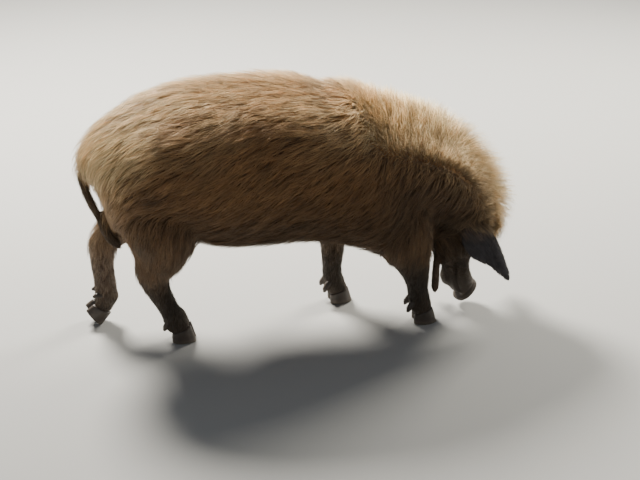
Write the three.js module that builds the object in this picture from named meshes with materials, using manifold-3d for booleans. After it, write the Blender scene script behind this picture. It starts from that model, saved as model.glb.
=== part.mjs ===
// A kunekune pig standing with its head down to graze, as a still life-size model.
// Millimetres, +Z up. +X runs from the rump to the head and +Y to the pig's left side.
// The flesh is lofted whole, joined, and then parted into head, neck, trunk, legs and tail.
// Every outline runs out to the tips of the coat.
import * as THREE from 'three';
import { mergeVertices } from 'three/addons/utils/BufferGeometryUtils.js';
import Module from 'manifold-3d';

const wasm = await Module();
wasm.setup();

// Driving dimensions
const GAP = 0.5; // the parting between two neighbouring pieces
const RIGHT = -1;
const LEFT = 1;
const BODY_POWER = 2.25; // how square the trunk's section is; 2 is an ellipse
const EYE_RADIUS = 11;
const MIDLINE = 4; // how far a leg's root stays from the animal's middle plane
const FLOOR_FLAT = 2; // how much of a toe tip is taken off to give it a small flat
const HEAD_PITCH = 0.08; // radians that the snout swings forward of straight down
const HEAD_PIVOT = new THREE.Vector3(463, 0, 266); // the poll, where head and neck meet

const COLOURS = {
  coat: new THREE.MeshStandardMaterial({ color: 0x8a6238, roughness: 0.9, metalness: 0 }),
  skin: new THREE.MeshStandardMaterial({ color: 0x4a4048, roughness: 0.7, metalness: 0 }),
  horn: new THREE.MeshStandardMaterial({ color: 0x2e2723, roughness: 0.5, metalness: 0 }),
  eye: new THREE.MeshStandardMaterial({ color: 0x1c120c, roughness: 0.1, metalness: 0 }),
};

// A closed solid from a geometry, turned the right way out.
function solid(geometry) {
  const bare = new THREE.BufferGeometry();
  bare.setAttribute('position', geometry.getAttribute('position'));
  if (geometry.index) bare.setIndex(geometry.index);
  const merged = mergeVertices(bare, 1e-3);
  const vertProperties = new Float32Array(merged.attributes.position.array);
  const triVerts = new Uint32Array(merged.index.array);
  const made = new wasm.Manifold(new wasm.Mesh({ numProp: 3, vertProperties, triVerts }));
  if (made.volume() > 0) return made;
  for (let i = 0; i < triVerts.length; i += 3) triVerts.subarray(i, i + 3).reverse();
  return new wasm.Manifold(new wasm.Mesh({ numProp: 3, vertProperties, triVerts }));
}

// Rings of equally many points, skinned one to the next and closed at both ends.
function skinned(rings) {
  const around = rings[0].length;
  const middle = (ring) => ring.reduce((sum, p) => sum.add(p), new THREE.Vector3()).divideScalar(around);
  const points = [...rings.flat(), middle(rings[0]), middle(rings.at(-1))];
  const first = rings.length * around;
  const index = [];
  for (let j = 0; j < around; j++) {
    const k = (j + 1) % around;
    for (let i = 0; i + 1 < rings.length; i++) {
      const [a, b] = [i * around + j, i * around + k];
      index.push(a, b, a + around, b, b + around, a + around);
    }
    index.push(first, k, j);
    index.push(first + 1, first - around + j, first - around + k);
  }
  const geometry = new THREE.BufferGeometry().setFromPoints(points);
  geometry.setIndex(index);
  return solid(geometry);
}

const bulge = (v, power) => Math.sign(v) * Math.abs(v) ** (2 / power);

// A limb or body length. Each joint has a place and how far the flesh reaches from it:
// to the front (the back, on the trunk), to the rear (the belly) and to each side.
// Sections stand square to the path, or upright across the body.
function limb(joints, { steps, around, power = 2, frontPower = power, grow = 0, upright = false }) {
  const path = new THREE.CatmullRomCurve3(joints.map((j) => new THREE.Vector3(...j.at)), false, 'centripetal');
  const reach = new THREE.CatmullRomCurve3(
    joints.map((j) => new THREE.Vector3(j.front, j.rear, j.side)), false, 'centripetal');
  const rings = [];
  for (let i = 0; i <= steps; i++) {
    const t = i / steps;
    const along = upright ? new THREE.Vector3(1, 0, 0) : path.getTangent(t);
    const beyond = i === steps ? grow : i === 0 ? -grow : 0;
    const centre = path.getPoint(t).addScaledVector(along, beyond);
    const aside = new THREE.Vector3(0, 1, 0).addScaledVector(along, -along.y).normalize();
    const forward = along.clone().cross(aside);
    const size = reach.getPoint(t);
    const ring = [];
    for (let j = 0; j < around; j++) {
      const turn = (2 * Math.PI * j) / around;
      const out = Math.sin(turn);
      const reachOut = (out > 0 ? size.x : size.y) + grow;
      const shape = out > 0 ? frontPower : power;
      ring.push(centre.clone()
        .addScaledVector(aside, bulge(Math.cos(turn), shape) * (size.z + grow))
        .addScaledVector(forward, bulge(out, shape) * reachOut));
    }
    rings.push(ring);
  }
  return skinned(rings);
}

function ball([x, y, z], [rx, ry, rz], { turn = 0, fine = 8 } = {}) {
  const geometry = new THREE.SphereGeometry(1, fine, Math.round(fine * 0.7));
  geometry.scale(rx, ry, rz).rotateY(turn).translate(x, y, z);
  return solid(geometry);
}

const union = (solids) => solids.reduce((whole, next) => whole.add(next));

// The trunk, from the rump's hair to the front of the chest. Each landmark has its height
// over the floor at the back and at the belly, and its half width.
const TRUNK = {
  rumpHair: { x: -400, back: 438, belly: 414, half: 10 },
  tailHead: { x: -388, back: 462, belly: 398, half: 46 },
  pinBones: { x: -362, back: 492, belly: 372, half: 98 },
  rump: { x: -330, back: 521, belly: 268, half: 134 },
  hip: { x: -270, back: 554, belly: 260, half: 164 },
  loin: { x: -184, back: 583, belly: 262, half: 180 },
  flank: { x: -130, back: 592, belly: 224, half: 185 },
  back: { x: -40, back: 598, belly: 212, half: 188 },
  girth: { x: 110, back: 588, belly: 214, half: 184 },
  shoulder: { x: 220, back: 565, belly: 182, half: 172 },
  chest: { x: 300, back: 528, belly: 140, half: 146 },
  brisket: { x: 352, back: 480, belly: 136, half: 112 },
  breast: { x: 394, back: 410, belly: 180, half: 70 },
  apron: { x: 414, back: 340, belly: 250, half: 34 },
};

function trunkWhole(grow = 0) {
  return limb(Object.values(TRUNK).map(({ x, back, belly, half }) => ({
    at: [x, 0, (back + belly) / 2],
    front: (back - belly) / 2,
    rear: (back - belly) / 2,
    side: half,
  })), { steps: 23, around: 22, power: BODY_POWER, grow, upright: true });
}

// The neck arches over and down from the withers to the poll. Its mane stands out along
// the crest, so the front reach there is mostly hair.
const NECK = [
  { at: [236, 0, 408], front: 136, rear: 150, side: 150 },
  { at: [326, 0, 388], front: 142, rear: 150, side: 142 },
  { at: [404, 0, 350], front: 134, rear: 118, side: 128 },
  { at: [456, 0, 296], front: 128, rear: 92, side: 112 },
  { at: [480, 0, 240], front: 120, rear: 84, side: 94 },
  { at: [490, 0, 202], front: 92, rear: 70, side: 78 },
  { at: [494, 0, 186], front: 62, rear: 50, side: 62 },
];

function neckWhole() {
  return limb(NECK, { steps: 11, around: 22, power: 2.1, frontPower: 1.9 });
}

// The head in its own frame: x to the forehead, z up from the poll, so the snout is below.
const HEAD = {
  poll: { down: -18, face: 34, jaw: 46, half: 56 },
  brow: { down: 30, face: 46, jaw: 70, half: 74 },
  eyes: { down: 74, face: 38, jaw: 78, half: 74 },
  cheek: { down: 112, face: 25, jaw: 68, half: 60 },
  muzzle: { down: 156, face: 15, jaw: 48, half: 42 },
  lip: { down: 196, face: 24, jaw: 40, half: 35 },
  nose: { down: 222, face: 33, jaw: 28, half: 32 },
};

function headFrame(geometryOrSolid) {
  const turn = (HEAD_PITCH * 180) / Math.PI;
  return geometryOrSolid.rotate([0, -turn, 0]).translate(HEAD_PIVOT.toArray());
}

function headWhole() {
  const skull = limb(Object.values(HEAD).map(({ down, face, jaw, half }) => ({
    at: [0, 0, -down], front: face, rear: jaw, side: half,
  })), { steps: 13, around: 18, power: 2.2 });
  const jowls = [LEFT, RIGHT].map((side) => ball([-40, side * 40, -84], [46, 42, 56]));
  const brows = [LEFT, RIGHT].map((side) => ball([24, side * 44, -62], [22, 22, 26]));
  const chin = ball([-34, 0, -186], [20, 24, 26]);
  return union([skull, ...jowls, ...brows, chin]);
}

// The snout ends in a flat disc of tough skin, with two nostrils, tipped to face forward.
const DISC = { at: [6, 0, -228], radius: 34, wide: 1.06, thick: 15, tip: 0.66 };

function snoutDisc(grow = 0) {
  const geometry = new THREE.CylinderGeometry(DISC.radius + grow, DISC.radius - 3 + grow, DISC.thick + 2 * grow, 20);
  geometry.rotateX(Math.PI / 2).scale(1, DISC.wide, 1).rotateY(-DISC.tip);
  geometry.translate(...DISC.at);
  return solid(geometry);
}

function nostril(side) {
  const geometry = new THREE.CylinderGeometry(5.5, 4, 24, 8);
  geometry.rotateX(Math.PI / 2).translate(1, side * 13, -10).rotateY(-DISC.tip);
  geometry.translate(...DISC.at);
  return solid(geometry);
}

const EYE = { at: [22, 51, -76] };

function eye(side, grow = 0) {
  const r = EYE_RADIUS + grow;
  return headFrame(ball([EYE.at[0], side * EYE.at[1], EYE.at[2]], [r, r, r], { fine: 11 }));
}

// An ear is a leaf of skin that flops forward over the eye. Its blade is lofted from the
// root to the tip, wide and thin, and cupped a little.
const EAR = [
  { out: 0, thick: 12, wide: 26, bend: 0, up: 0 },
  { out: 24, thick: 11, wide: 38, bend: 3, up: 0 },
  { out: 62, thick: 7, wide: 40, bend: 5, up: 0 },
  { out: 100, thick: 6, wide: 24, bend: 5, up: 5 },
  { out: 138, thick: 5, wide: 12, bend: 3, up: 3 },
  { out: 160, thick: 3, wide: 5, bend: 0, up: 0 },
];
const EAR_ROOT = new THREE.Vector3(463, 82, 244);
const EAR_TIP = new THREE.Vector3(561, 100, 106);

function ear(side, grow = 0) {
  const along = EAR_TIP.clone().sub(EAR_ROOT);
  const length = along.length();
  along.normalize();
  const face = new THREE.Vector3(0.1, 0.93, 0.35);
  face.addScaledVector(along, -face.dot(along)).normalize();
  const across = along.clone().cross(face);
  const rings = EAR.map(({ out, thick, wide, bend, up }) => {
    const centre = EAR_ROOT.clone()
      .addScaledVector(along, (out / EAR.at(-1).out) * (length + grow))
      .addScaledVector(across, up);
    const ring = [];
    for (let j = 0; j < 14; j++) {
      const turn = (2 * Math.PI * j) / 14;
      const s = Math.cos(turn);
      ring.push(centre.clone()
        .addScaledVector(across, s * (wide + grow))
        .addScaledVector(face, Math.sin(turn) * (thick + grow) - bend * s * s));
    }
    return ring;
  });
  rings.forEach((ring) => ring.forEach((p) => { p.y *= side; }));
  return skinned(rings);
}

// Legs. Each runs from inside the body to the fetlock, and its foot has a frame of its own.
const LEG_FACETS = { steps: 11, around: 12, power: 2.1 };
const LEGS = {
  leg_fore_right: {
    side: RIGHT,
    joints: [
      { at: [292, -80, 316], front: 56, rear: 62, side: 40 },
      { at: [318, -96, 232], front: 56, rear: 74, side: 46 },
      { at: [338, -88, 172], front: 38, rear: 50, side: 36 },
      { at: [348, -78, 124], front: 31, rear: 31, side: 30 },
      { at: [354, -70, 82], front: 25, rear: 24, side: 24 },
      { at: [362, -66, 50], front: 25, rear: 26, side: 27 },
      { at: [368, -66, 26], front: 26, rear: 25, side: 27 },
    ],
    foot: { at: [370, -66, 0], pitch: 0, yaw: -0.05 },
  },
  leg_fore_left: {
    side: LEFT,
    joints: [
      { at: [200, 84, 318], front: 62, rear: 56, side: 44 },
      { at: [186, 96, 232], front: 50, rear: 44, side: 42 },
      { at: [182, 86, 168], front: 33, rear: 32, side: 34 },
      { at: [182, 78, 122], front: 28, rear: 28, side: 29 },
      { at: [180, 72, 82], front: 22, rear: 24, side: 24 },
      { at: [184, 70, 50], front: 24, rear: 26, side: 27 },
      { at: [192, 70, 26], front: 26, rear: 25, side: 27 },
    ],
    foot: { at: [196, 70, 0], pitch: 0, yaw: 0.05 },
  },
  leg_hind_right: {
    side: RIGHT,
    joints: [
      { at: [-236, -70, 372], front: 80, rear: 76, side: 54 },
      { at: [-222, -96, 302], front: 92, rear: 96, side: 72 },
      { at: [-226, -94, 238], front: 60, rear: 66, side: 50 },
      { at: [-246, -84, 188], front: 36, rear: 40, side: 32 },
      { at: [-238, -74, 138], front: 27, rear: 30, side: 26 },
      { at: [-216, -66, 88], front: 22, rear: 24, side: 23 },
      { at: [-204, -62, 52], front: 24, rear: 26, side: 26 },
      { at: [-194, -60, 26], front: 26, rear: 26, side: 27 },
    ],
    foot: { at: [-188, -60, 0], pitch: 0, yaw: -0.09 },
  },
  leg_hind_left: {
    side: LEFT,
    joints: [
      { at: [-250, 70, 370], front: 80, rear: 72, side: 54 },
      { at: [-262, 94, 300], front: 84, rear: 66, side: 70 },
      { at: [-304, 86, 244], front: 54, rear: 46, side: 46 },
      { at: [-350, 72, 204], front: 34, rear: 34, side: 31 },
      { at: [-357, 62, 158], front: 28, rear: 27, side: 26 },
      { at: [-354, 57, 112], front: 26, rear: 26, side: 24 },
      { at: [-352, 55, 84], front: 26, rear: 27, side: 26 },
      { at: [-354, 55, 58], front: 24, rear: 24, side: 25 },
    ],
    foot: { at: [-400, 55, 0], pitch: 0.95, yaw: 0.04 },
  },
};

// One of a foot's two hooves, in the foot's frame: the sole is at z = 0 and the toe at +X.
const HOOF = { length: 56, wide: 25, height: 46, spread: 14.5 };

function hoofWhole(side, grow = 0) {
  const rings = [0, 0.45, 1].map((level) => {
    const toe = HOOF.length * (0.56 - 0.24 * level) + grow;
    const heel = -HOOF.length * 0.44 - grow;
    const ring = [];
    for (let j = 0; j < 12; j++) {
      const turn = (2 * Math.PI * j) / 12;
      const out = Math.cos(turn);
      const narrow = 1 - 0.3 * Math.max(0, out) ** 2;
      ring.push(new THREE.Vector3(
        out > 0 ? out * toe : -out * heel,
        side * HOOF.spread + Math.sin(turn) * (HOOF.wide / 2 + grow) * narrow - side * 4 * Math.max(0, out) ** 2,
        level * HOOF.height,
      ));
    }
    return ring;
  });
  return skinned(rings);
}

function dewclaw(side, grow = 0) {
  return limb([
    { at: [-18, side * 13, 64], front: 6, rear: 6, side: 6 },
    { at: [-30, side * 17, 54], front: 8, rear: 8, side: 8 },
    { at: [-38, side * 19, 42], front: 7, rear: 7, side: 7 },
    { at: [-41, side * 20, 34], front: 3, rear: 3, side: 3 },
  ], { steps: 3, around: 6, grow });
}

// A flat cut through the foot along the coronet, where hoof meets hair.
const CORONET = { normal: [-0.36, 0, 0.933], height: 31 };

function placeFoot(piece, { at, pitch, yaw }) {
  const toe = HOOF.length * 0.5;
  return piece.translate([-toe, 0, 0]).rotate([0, (pitch * 180) / Math.PI, 0])
    .translate([toe, 0, 0]).rotate([0, 0, (yaw * 180) / Math.PI]).translate(at);
}

function makeLeg(name, { joints, foot }) {
  const pieces = {};
  const clawsUp = [];
  for (const [word, side] of [['inner', -LEGS[name].side], ['outer', LEGS[name].side]]) {
    const whole = hoofWhole(side);
    const upper = whole.trimByPlane(CORONET.normal, CORONET.height + GAP);
    const lower = whole.trimByPlane(CORONET.normal.map((v) => -v), -CORONET.height);
    clawsUp.push(placeFoot(upper, foot));
    pieces[`${name}_hoof_${word}`] = placeFoot(lower, foot)
      .trimByPlane([0, 0, 1], foot.pitch ? FLOOR_FLAT : 0)
      .translate([0, 0, foot.pitch ? -FLOOR_FLAT : 0]);
  }
  const toeUp = placeFoot(limb([
    { at: [-12, 0, 74], front: 18, rear: 20, side: 22 },
    { at: [-4, 0, 44], front: 20, rear: 24, side: 25 },
    { at: [2, 0, 12], front: 20, rear: 22, side: 22 },
  ], { steps: 3, around: 12 }).trimByPlane(CORONET.normal, CORONET.height + GAP), foot);
  const above = placeFoot(solid(new THREE.BoxGeometry(4000, 4000, 4000).translate(0, 0, 2000))
    .trimByPlane(CORONET.normal, CORONET.height + GAP), foot);
  let leg = union([limb(joints, LEG_FACETS).intersect(above), toeUp, ...clawsUp]);
  for (const [word, side] of [['inner', -LEGS[name].side], ['outer', LEGS[name].side]]) {
    pieces[`${name}_dewclaw_${word}`] = placeFoot(dewclaw(side), foot);
    leg = leg.subtract(placeFoot(dewclaw(side, GAP), foot));
  }
  // The two legs of a pair stay on their own sides inside the body.
  pieces[name] = leg.trimByPlane([0, LEGS[name].side, 0], MIDLINE);
  return pieces;
}

// The tail hangs from the tail head, curving in towards the right thigh, and ends in a tuft.
const TAIL = [
  { at: [-356, 0, 424], front: 18, rear: 18, side: 18 },
  { at: [-384, 0, 412], front: 14, rear: 14, side: 14 },
  { at: [-384, -4, 374], front: 10, rear: 10, side: 10 },
  { at: [-372, -14, 334], front: 9, rear: 9, side: 9 },
  { at: [-354, -26, 300], front: 9, rear: 9, side: 9 },
  { at: [-343, -38, 272], front: 10, rear: 10, side: 10 },
  { at: [-326, -46, 252], front: 11, rear: 11, side: 11 },
  { at: [-314, -50, 238], front: 4, rear: 4, side: 4 },
];

function tail(grow = 0) {
  return limb(TAIL, { steps: 13, around: 8, grow });
}

// The breed's tassels: two finger-sized wattles that hang from the lower jaw.
function tassel(side, grow = 0) {
  return limb([
    { at: [402, side * 50, 172], front: 9, rear: 9, side: 9 },
    { at: [399, side * 60, 142], front: 9, rear: 9, side: 8 },
    { at: [397, side * 64, 108], front: 10, rear: 10, side: 9 },
    { at: [397, side * 64, 80], front: 9, rear: 9, side: 8 },
    { at: [397, side * 64, 70], front: 3, rear: 3, side: 3 },
  ], { steps: 8, around: 8, grow });
}

// A slab that parts the flesh. Its place is a point on it, and its normal points to the side
// that is cut off. Keeps one side or the other, a hair's breadth back from the plane.
const CUTS = {
  neck: { at: [262, 0, 330], normal: [0.93, 0, 0.37] },
  head: { at: [452, 0, 214], normal: [0.2, 0, -0.98] },
};

function side(whole, { at, normal }, beyond) {
  const direction = new THREE.Vector3(...normal).normalize();
  const offset = direction.dot(new THREE.Vector3(...at));
  return beyond
    ? whole.trimByPlane(direction.toArray(), offset + GAP / 2)
    : whole.trimByPlane(direction.negate().toArray(), -(offset - GAP / 2));
}

// The biggest of the bodies that a solid falls into: a cut can leave a crumb behind.
function mainBody(piece) {
  return piece.decompose().reduce((best, body) => (body.volume() > best.volume() ? body : best));
}

function build() {
  const pieces = {};
  for (const [name, leg] of Object.entries(LEGS)) Object.assign(pieces, makeLeg(name, leg));
  const hooves = Object.keys(pieces).filter((name) => /hoof|dewclaw/.test(name));

  let head = headFrame(union([headWhole(), snoutDisc()]).subtract(nostril(LEFT)).subtract(nostril(RIGHT)));
  let neck = neckWhole();
  let trunk = trunkWhole();

  // The head's own solid stops at the poll cut and at the chest; the neck takes what is above.
  const headAndNeck = head.add(neck);
  head = side(headAndNeck, CUTS.head, true).subtract(trunkWhole(GAP));
  const upper = side(headAndNeck, CUTS.head, false).add(trunk);
  neck = side(upper, CUTS.neck, true);
  trunk = side(upper, CUTS.neck, false);

  // Legs plug into the trunk and neck, which give way to them by the parting.
  for (const [name, { joints }] of Object.entries(LEGS)) {
    const grown = limb(joints, { ...LEG_FACETS, grow: GAP });
    trunk = trunk.subtract(grown);
    neck = neck.subtract(grown);
    head = head.subtract(grown);
    pieces[name] = mainBody(pieces[name]);
  }
  trunk = trunk.subtract(tail(GAP));
  pieces.tail = tail();

  for (const [word, s] of [['left', LEFT], ['right', RIGHT]]) {
    head = head.subtract(ear(s, GAP)).subtract(eye(s, GAP)).subtract(tassel(s, GAP));
    neck = neck.subtract(ear(s, GAP)).subtract(tassel(s, GAP));
    trunk = trunk.subtract(tassel(s, GAP));
    pieces[`ear_${word}`] = ear(s);
    pieces[`eye_${word}`] = eye(s);
    pieces[`tassel_${word}`] = tassel(s);
  }
  Object.assign(pieces, { head: mainBody(head), neck: mainBody(neck), trunk: mainBody(trunk) });
  return { pieces, hooves };
}

function toGeometry(piece) {
  const { vertProperties, triVerts } = piece.getMesh();
  const geometry = new THREE.BufferGeometry();
  geometry.setAttribute('position', new THREE.BufferAttribute(new Float32Array(vertProperties), 3));
  geometry.setIndex(new THREE.BufferAttribute(new Uint32Array(triVerts), 1));
  return geometry;
}

function materialFor(name, hooves) {
  if (hooves.includes(name)) return COLOURS.horn;
  if (name.startsWith('eye')) return COLOURS.eye;
  if (name.startsWith('ear')) return COLOURS.skin;
  return COLOURS.coat;
}

const group = new THREE.Group();
const { pieces, hooves } = build();
for (const [name, piece] of Object.entries(pieces)) {
  const mesh = new THREE.Mesh(toGeometry(piece), materialFor(name, hooves));
  mesh.name = name;
  group.add(mesh);
}

// The origin is on the floor, under the middle of the whole animal.
const bounds = new THREE.Box3().setFromObject(group);
const middle = bounds.getCenter(new THREE.Vector3());
group.position.set(-middle.x, -middle.y, -bounds.min.z);

export default group;
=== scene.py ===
# %% [markdown]
# # A kunekune pig, grazing
# This is a life-size still model of a small, hairy pig with its head down to graze.
# The solid parts come from the frame: they are plain, and run out to the tips of the coat.
# Here they are used as a guide. One smooth skin is made from them and drawn in by the
# depth of the coat, and thousands of small locks of hair are then laid over that skin.
# %% Open the frame
import math

import bmesh
import bpy
import numpy as np
from mathutils import Matrix, Vector
from mathutils.bvhtree import BVHTree
from mathutils.kdtree import KDTree


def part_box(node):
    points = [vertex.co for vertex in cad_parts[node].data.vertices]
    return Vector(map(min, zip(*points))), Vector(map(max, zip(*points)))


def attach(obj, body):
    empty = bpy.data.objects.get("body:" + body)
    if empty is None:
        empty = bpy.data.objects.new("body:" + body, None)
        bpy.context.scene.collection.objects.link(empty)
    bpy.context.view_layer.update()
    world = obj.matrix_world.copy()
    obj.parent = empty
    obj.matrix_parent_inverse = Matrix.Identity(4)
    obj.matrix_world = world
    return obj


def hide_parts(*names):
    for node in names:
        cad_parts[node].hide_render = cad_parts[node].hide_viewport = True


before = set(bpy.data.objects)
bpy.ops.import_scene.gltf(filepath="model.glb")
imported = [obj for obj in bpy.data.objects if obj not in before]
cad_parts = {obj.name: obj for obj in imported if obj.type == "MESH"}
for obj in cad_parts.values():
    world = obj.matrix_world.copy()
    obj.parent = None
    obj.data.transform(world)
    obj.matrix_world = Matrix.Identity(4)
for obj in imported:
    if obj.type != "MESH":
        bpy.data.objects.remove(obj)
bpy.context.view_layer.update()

SCENE = bpy.context.scene

# %% [markdown]
# Places along the animal are easiest to name from a point in the middle of its trunk.
# x runs from there towards the head, y to the pig's left, and z is the height.
# %% Landmarks
TRUNK_LOW = np.array(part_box("trunk")[0])
RUMP_BEHIND = 0.400  # the rump's hair ends this far behind the middle of the trunk
MIDDLE = np.array([TRUNK_LOW[0] + RUMP_BEHIND, 0.0, 0.0])
POLL = np.array([0.463, 0.0, 0.266])  # where the skull hangs from the neck
NECK_HUB = np.array([0.290, 0.0, 0.205])  # the neck bends round this point
HEAD_PITCH = 0.08  # the snout swings this far forward of straight down, in radians
NECK_LINE = np.array([
    [0.150, 0.0, 0.412], [0.236, 0.0, 0.408], [0.326, 0.0, 0.388], [0.404, 0.0, 0.350],
    [0.456, 0.0, 0.296], [0.480, 0.0, 0.240], [0.492, 0.0, 0.196],
])
SIDES = {"left": 1.0, "right": -1.0}
LEGS = ["leg_fore_left", "leg_fore_right", "leg_hind_left", "leg_hind_right"]
FLESH = ["head", "neck", "trunk", "tail", *LEGS]
FLESH += [f"{part}_{side}" for part in ("ear", "tassel") for side in SIDES]
HORN = [f"{leg}_{part}_{place}" for leg in LEGS for part in ("hoof", "dewclaw")
        for place in ("inner", "outer")]
print("middle of the trunk at x =", round(float(MIDDLE[0]), 4))


# %% [markdown]
# The picture was taken from standing height, a few metres off and a little behind the
# shoulder. The camera looks down 25 degrees, so the back shows as well as the flank.
# %% Camera
CAMERA_AT = (-0.348, -2.757, 1.500)
CAMERA_HEADING = math.radians(10)  # how far the view turns from square to the animal
CAMERA_FALL = math.radians(25)
LENS_MM = 75.9
SENSOR_MM = 36


def set_up_camera():
    data = bpy.data.cameras.new("camera")
    data.lens = LENS_MM
    data.sensor_width = SENSOR_MM
    camera = bpy.data.objects.new("camera", data)
    camera.location = MIDDLE + np.array(CAMERA_AT)
    camera.rotation_euler = (math.radians(90) - CAMERA_FALL, 0, -CAMERA_HEADING)
    SCENE.collection.objects.link(camera)
    SCENE.camera = camera
    return camera


camera = set_up_camera()
print("camera at", [round(v, 3) for v in camera.location])

# %% [markdown]
# The sun stood behind the pig and to its rear, so its back and mane glow and its near
# side lies in open shade. Large soft lights keep that balance without hard shadows.
# %% Lights and floor
LIGHTS = {
    "sky_key": dict(at=(-0.9, 2.1, 2.5), size=1.1, watts=430, colour=(1.0, 0.95, 0.86)),
    "mane_rim": dict(at=(2.1, 1.7, 1.9), size=1.2, watts=155, colour=(1.0, 0.95, 0.84)),
    "near_fill": dict(at=(-1.2, -3.0, 1.6), size=3.2, watts=8, colour=(0.93, 0.96, 1.0)),
    "front_fill": dict(at=(2.8, -1.2, 1.4), size=2.4, watts=9, colour=(1.0, 0.98, 0.95)),
}
LIGHT_TARGET = (0, 0, 0.3)  # the middle of the animal
WORLD_LIGHT = 0.19
WORLD_COLOUR = (0.86, 0.92, 1.0, 1)
FLOOR_HALF = 12.0
FLOOR_COLOUR = (0.40, 0.40, 0.39, 1)


def aimed(at, target):
    return (Vector(target) - Vector(at)).to_track_quat("-Z", "Y").to_euler()


def set_up_lights():
    for name, light in LIGHTS.items():
        data = bpy.data.lights.new(name, "AREA")
        data.shape = "DISK"
        data.size = light["size"]
        data.energy = light["watts"]
        data.color = light["colour"]
        lamp = bpy.data.objects.new(name, data)
        lamp.location = light["at"]
        lamp.rotation_euler = aimed(light["at"], LIGHT_TARGET)
        SCENE.collection.objects.link(lamp)
    world = bpy.data.worlds.new("studio")
    world.use_nodes = True
    background = world.node_tree.nodes["Background"]
    background.inputs["Color"].default_value = WORLD_COLOUR
    background.inputs["Strength"].default_value = WORLD_LIGHT
    SCENE.world = world


def lay_floor():
    mesh = bpy.data.meshes.new("floor")
    corners = ((-1, -1), (1, -1), (1, 1), (-1, 1))
    mesh.from_pydata([(x * FLOOR_HALF, y * FLOOR_HALF, 0) for x, y in corners], [], [(0, 1, 2, 3)])
    floor = bpy.data.objects.new("floor", mesh)
    SCENE.collection.objects.link(floor)
    material = bpy.data.materials.new("studio_floor")
    material.use_nodes = True
    shader = material.node_tree.nodes["Principled BSDF"]
    shader.inputs["Base Color"].default_value = FLOOR_COLOUR
    shader.inputs["Roughness"].default_value = 0.9
    mesh.materials.append(material)


set_up_lights()
lay_floor()
print("lights:", sorted(LIGHTS))


# %% [markdown]
# ## The skin
# A pig's skin is one surface with no seams. The solids are swollen by a millimetre so that
# they overlap, and a voxel remesh melts them into one. Smoothing then takes the facets
# away. Working on plain arrays of points keeps each of these steps short and quick.
# %% Arrays from a mesh
def read_out(items, what, width, kind=float):
    flat = np.empty(len(items) * width, dtype=kind)
    items.foreach_get(what, flat)
    return flat.reshape(-1, width)


def points_of(mesh):
    return read_out(mesh.vertices, "co", 3)


def edges_of(mesh):
    return read_out(mesh.edges, "vertices", 2, np.int64)


def triangles_of(mesh):
    mesh.calc_loop_triangles()
    return read_out(mesh.loop_triangles, "vertices", 3, np.int64)


def normals_of(mesh):
    return read_out(mesh.vertex_normals, "vector", 3)


def put_points(mesh, points):
    mesh.vertices.foreach_set("co", points.ravel())
    mesh.update()


def unit(vectors):
    length = np.linalg.norm(vectors, axis=-1, keepdims=True)
    return vectors / np.maximum(length, 1e-9)


def smooth_step(low, high, value):
    t = np.clip((value - low) / (high - low), 0, 1)
    return t * t * (3 - 2 * t)


print("the trunk's solid has", len(points_of(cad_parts["trunk"].data)), "corners")


# %% [markdown]
# Smoothing moves each point towards the average of its neighbours. Done once forwards and
# once a little backwards it flattens facets but doesn't shrink the legs and ears.
# %% Smoothing over a mesh
FORWARDS, BACKWARDS = 0.5, -0.52


def neighbour_average(values, edges, count):
    table = values.reshape(count, -1)
    total = np.empty_like(table)
    near = np.concatenate([edges[:, 0], edges[:, 1]])
    far = np.concatenate([edges[:, 1], edges[:, 0]])
    degree = np.maximum(np.bincount(near, minlength=count), 1)
    for column in range(table.shape[1]):
        total[:, column] = np.bincount(near, weights=table[far, column], minlength=count)
    return (total / degree[:, None]).reshape(values.shape)


def spread(values, edges, rounds, amount=0.6):
    for _ in range(rounds):
        values = values + (neighbour_average(values, edges, len(values)) - values) * amount
    return values


def relax(points, edges, rounds, amount):
    amount = np.asarray(amount).reshape(-1, 1)
    for _ in range(rounds):
        for step in (FORWARDS, BACKWARDS):
            drift = neighbour_average(points, edges, len(points)) - points
            points = points + drift * amount * step
    return points


print("smoothing steps:", FORWARDS, "and", BACKWARDS)


# %% [markdown]
# Each point of the new skin keeps the name of the solid that it came from, as a number.
# Lengths, colours and the lie of the hair are worked out from that and from its place.
# %% Melt the solids into one skin
SWELL = 0.0010
SKIN_VOXEL = 0.0035
WELD_GAP = 1e-5
QUICK_SHARE = 0.72  # the quick's width, as a share of the horn's
QUICK_FLOOR = 0.006  # the quick ends this far above the floor


def swollen(name):
    mesh = bmesh.new()
    mesh.from_mesh(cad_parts[name].data)
    bmesh.ops.remove_doubles(mesh, verts=mesh.verts, dist=WELD_GAP)
    mesh.normal_update()
    for vertex in mesh.verts:
        vertex.co += vertex.normal * SWELL
    return mesh


def quick_of(name):
    """The living core of a hoof or dewclaw, which joins it to the leg with no gap."""
    mesh = swollen(name)
    middle = sum((vertex.co for vertex in mesh.verts), Vector()) / len(mesh.verts)
    for vertex in mesh.verts:
        vertex.co.xy = middle.xy + (vertex.co.xy - middle.xy) * QUICK_SHARE
        vertex.co.z = max(vertex.co.z, QUICK_FLOOR)
    return mesh


def joined_flesh():
    """All the swollen parts as one list of faces, with the number of each face's part."""
    points = []
    faces = []
    owner = []
    parts = [(name, swollen(name)) for name in FLESH] + [(name, quick_of(name)) for name in HORN]
    for name, mesh in parts:
        number = next(i for i, flesh in enumerate(FLESH) if name.startswith(flesh))
        first = len(points)
        points += [vertex.co.copy() for vertex in mesh.verts]
        for face in mesh.faces:
            faces.append([first + vertex.index for vertex in face.verts])
            owner.append(number)
        mesh.free()
    return points, faces, np.array(owner)


print("each hoof's quick is", QUICK_SHARE, "of its width")


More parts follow.
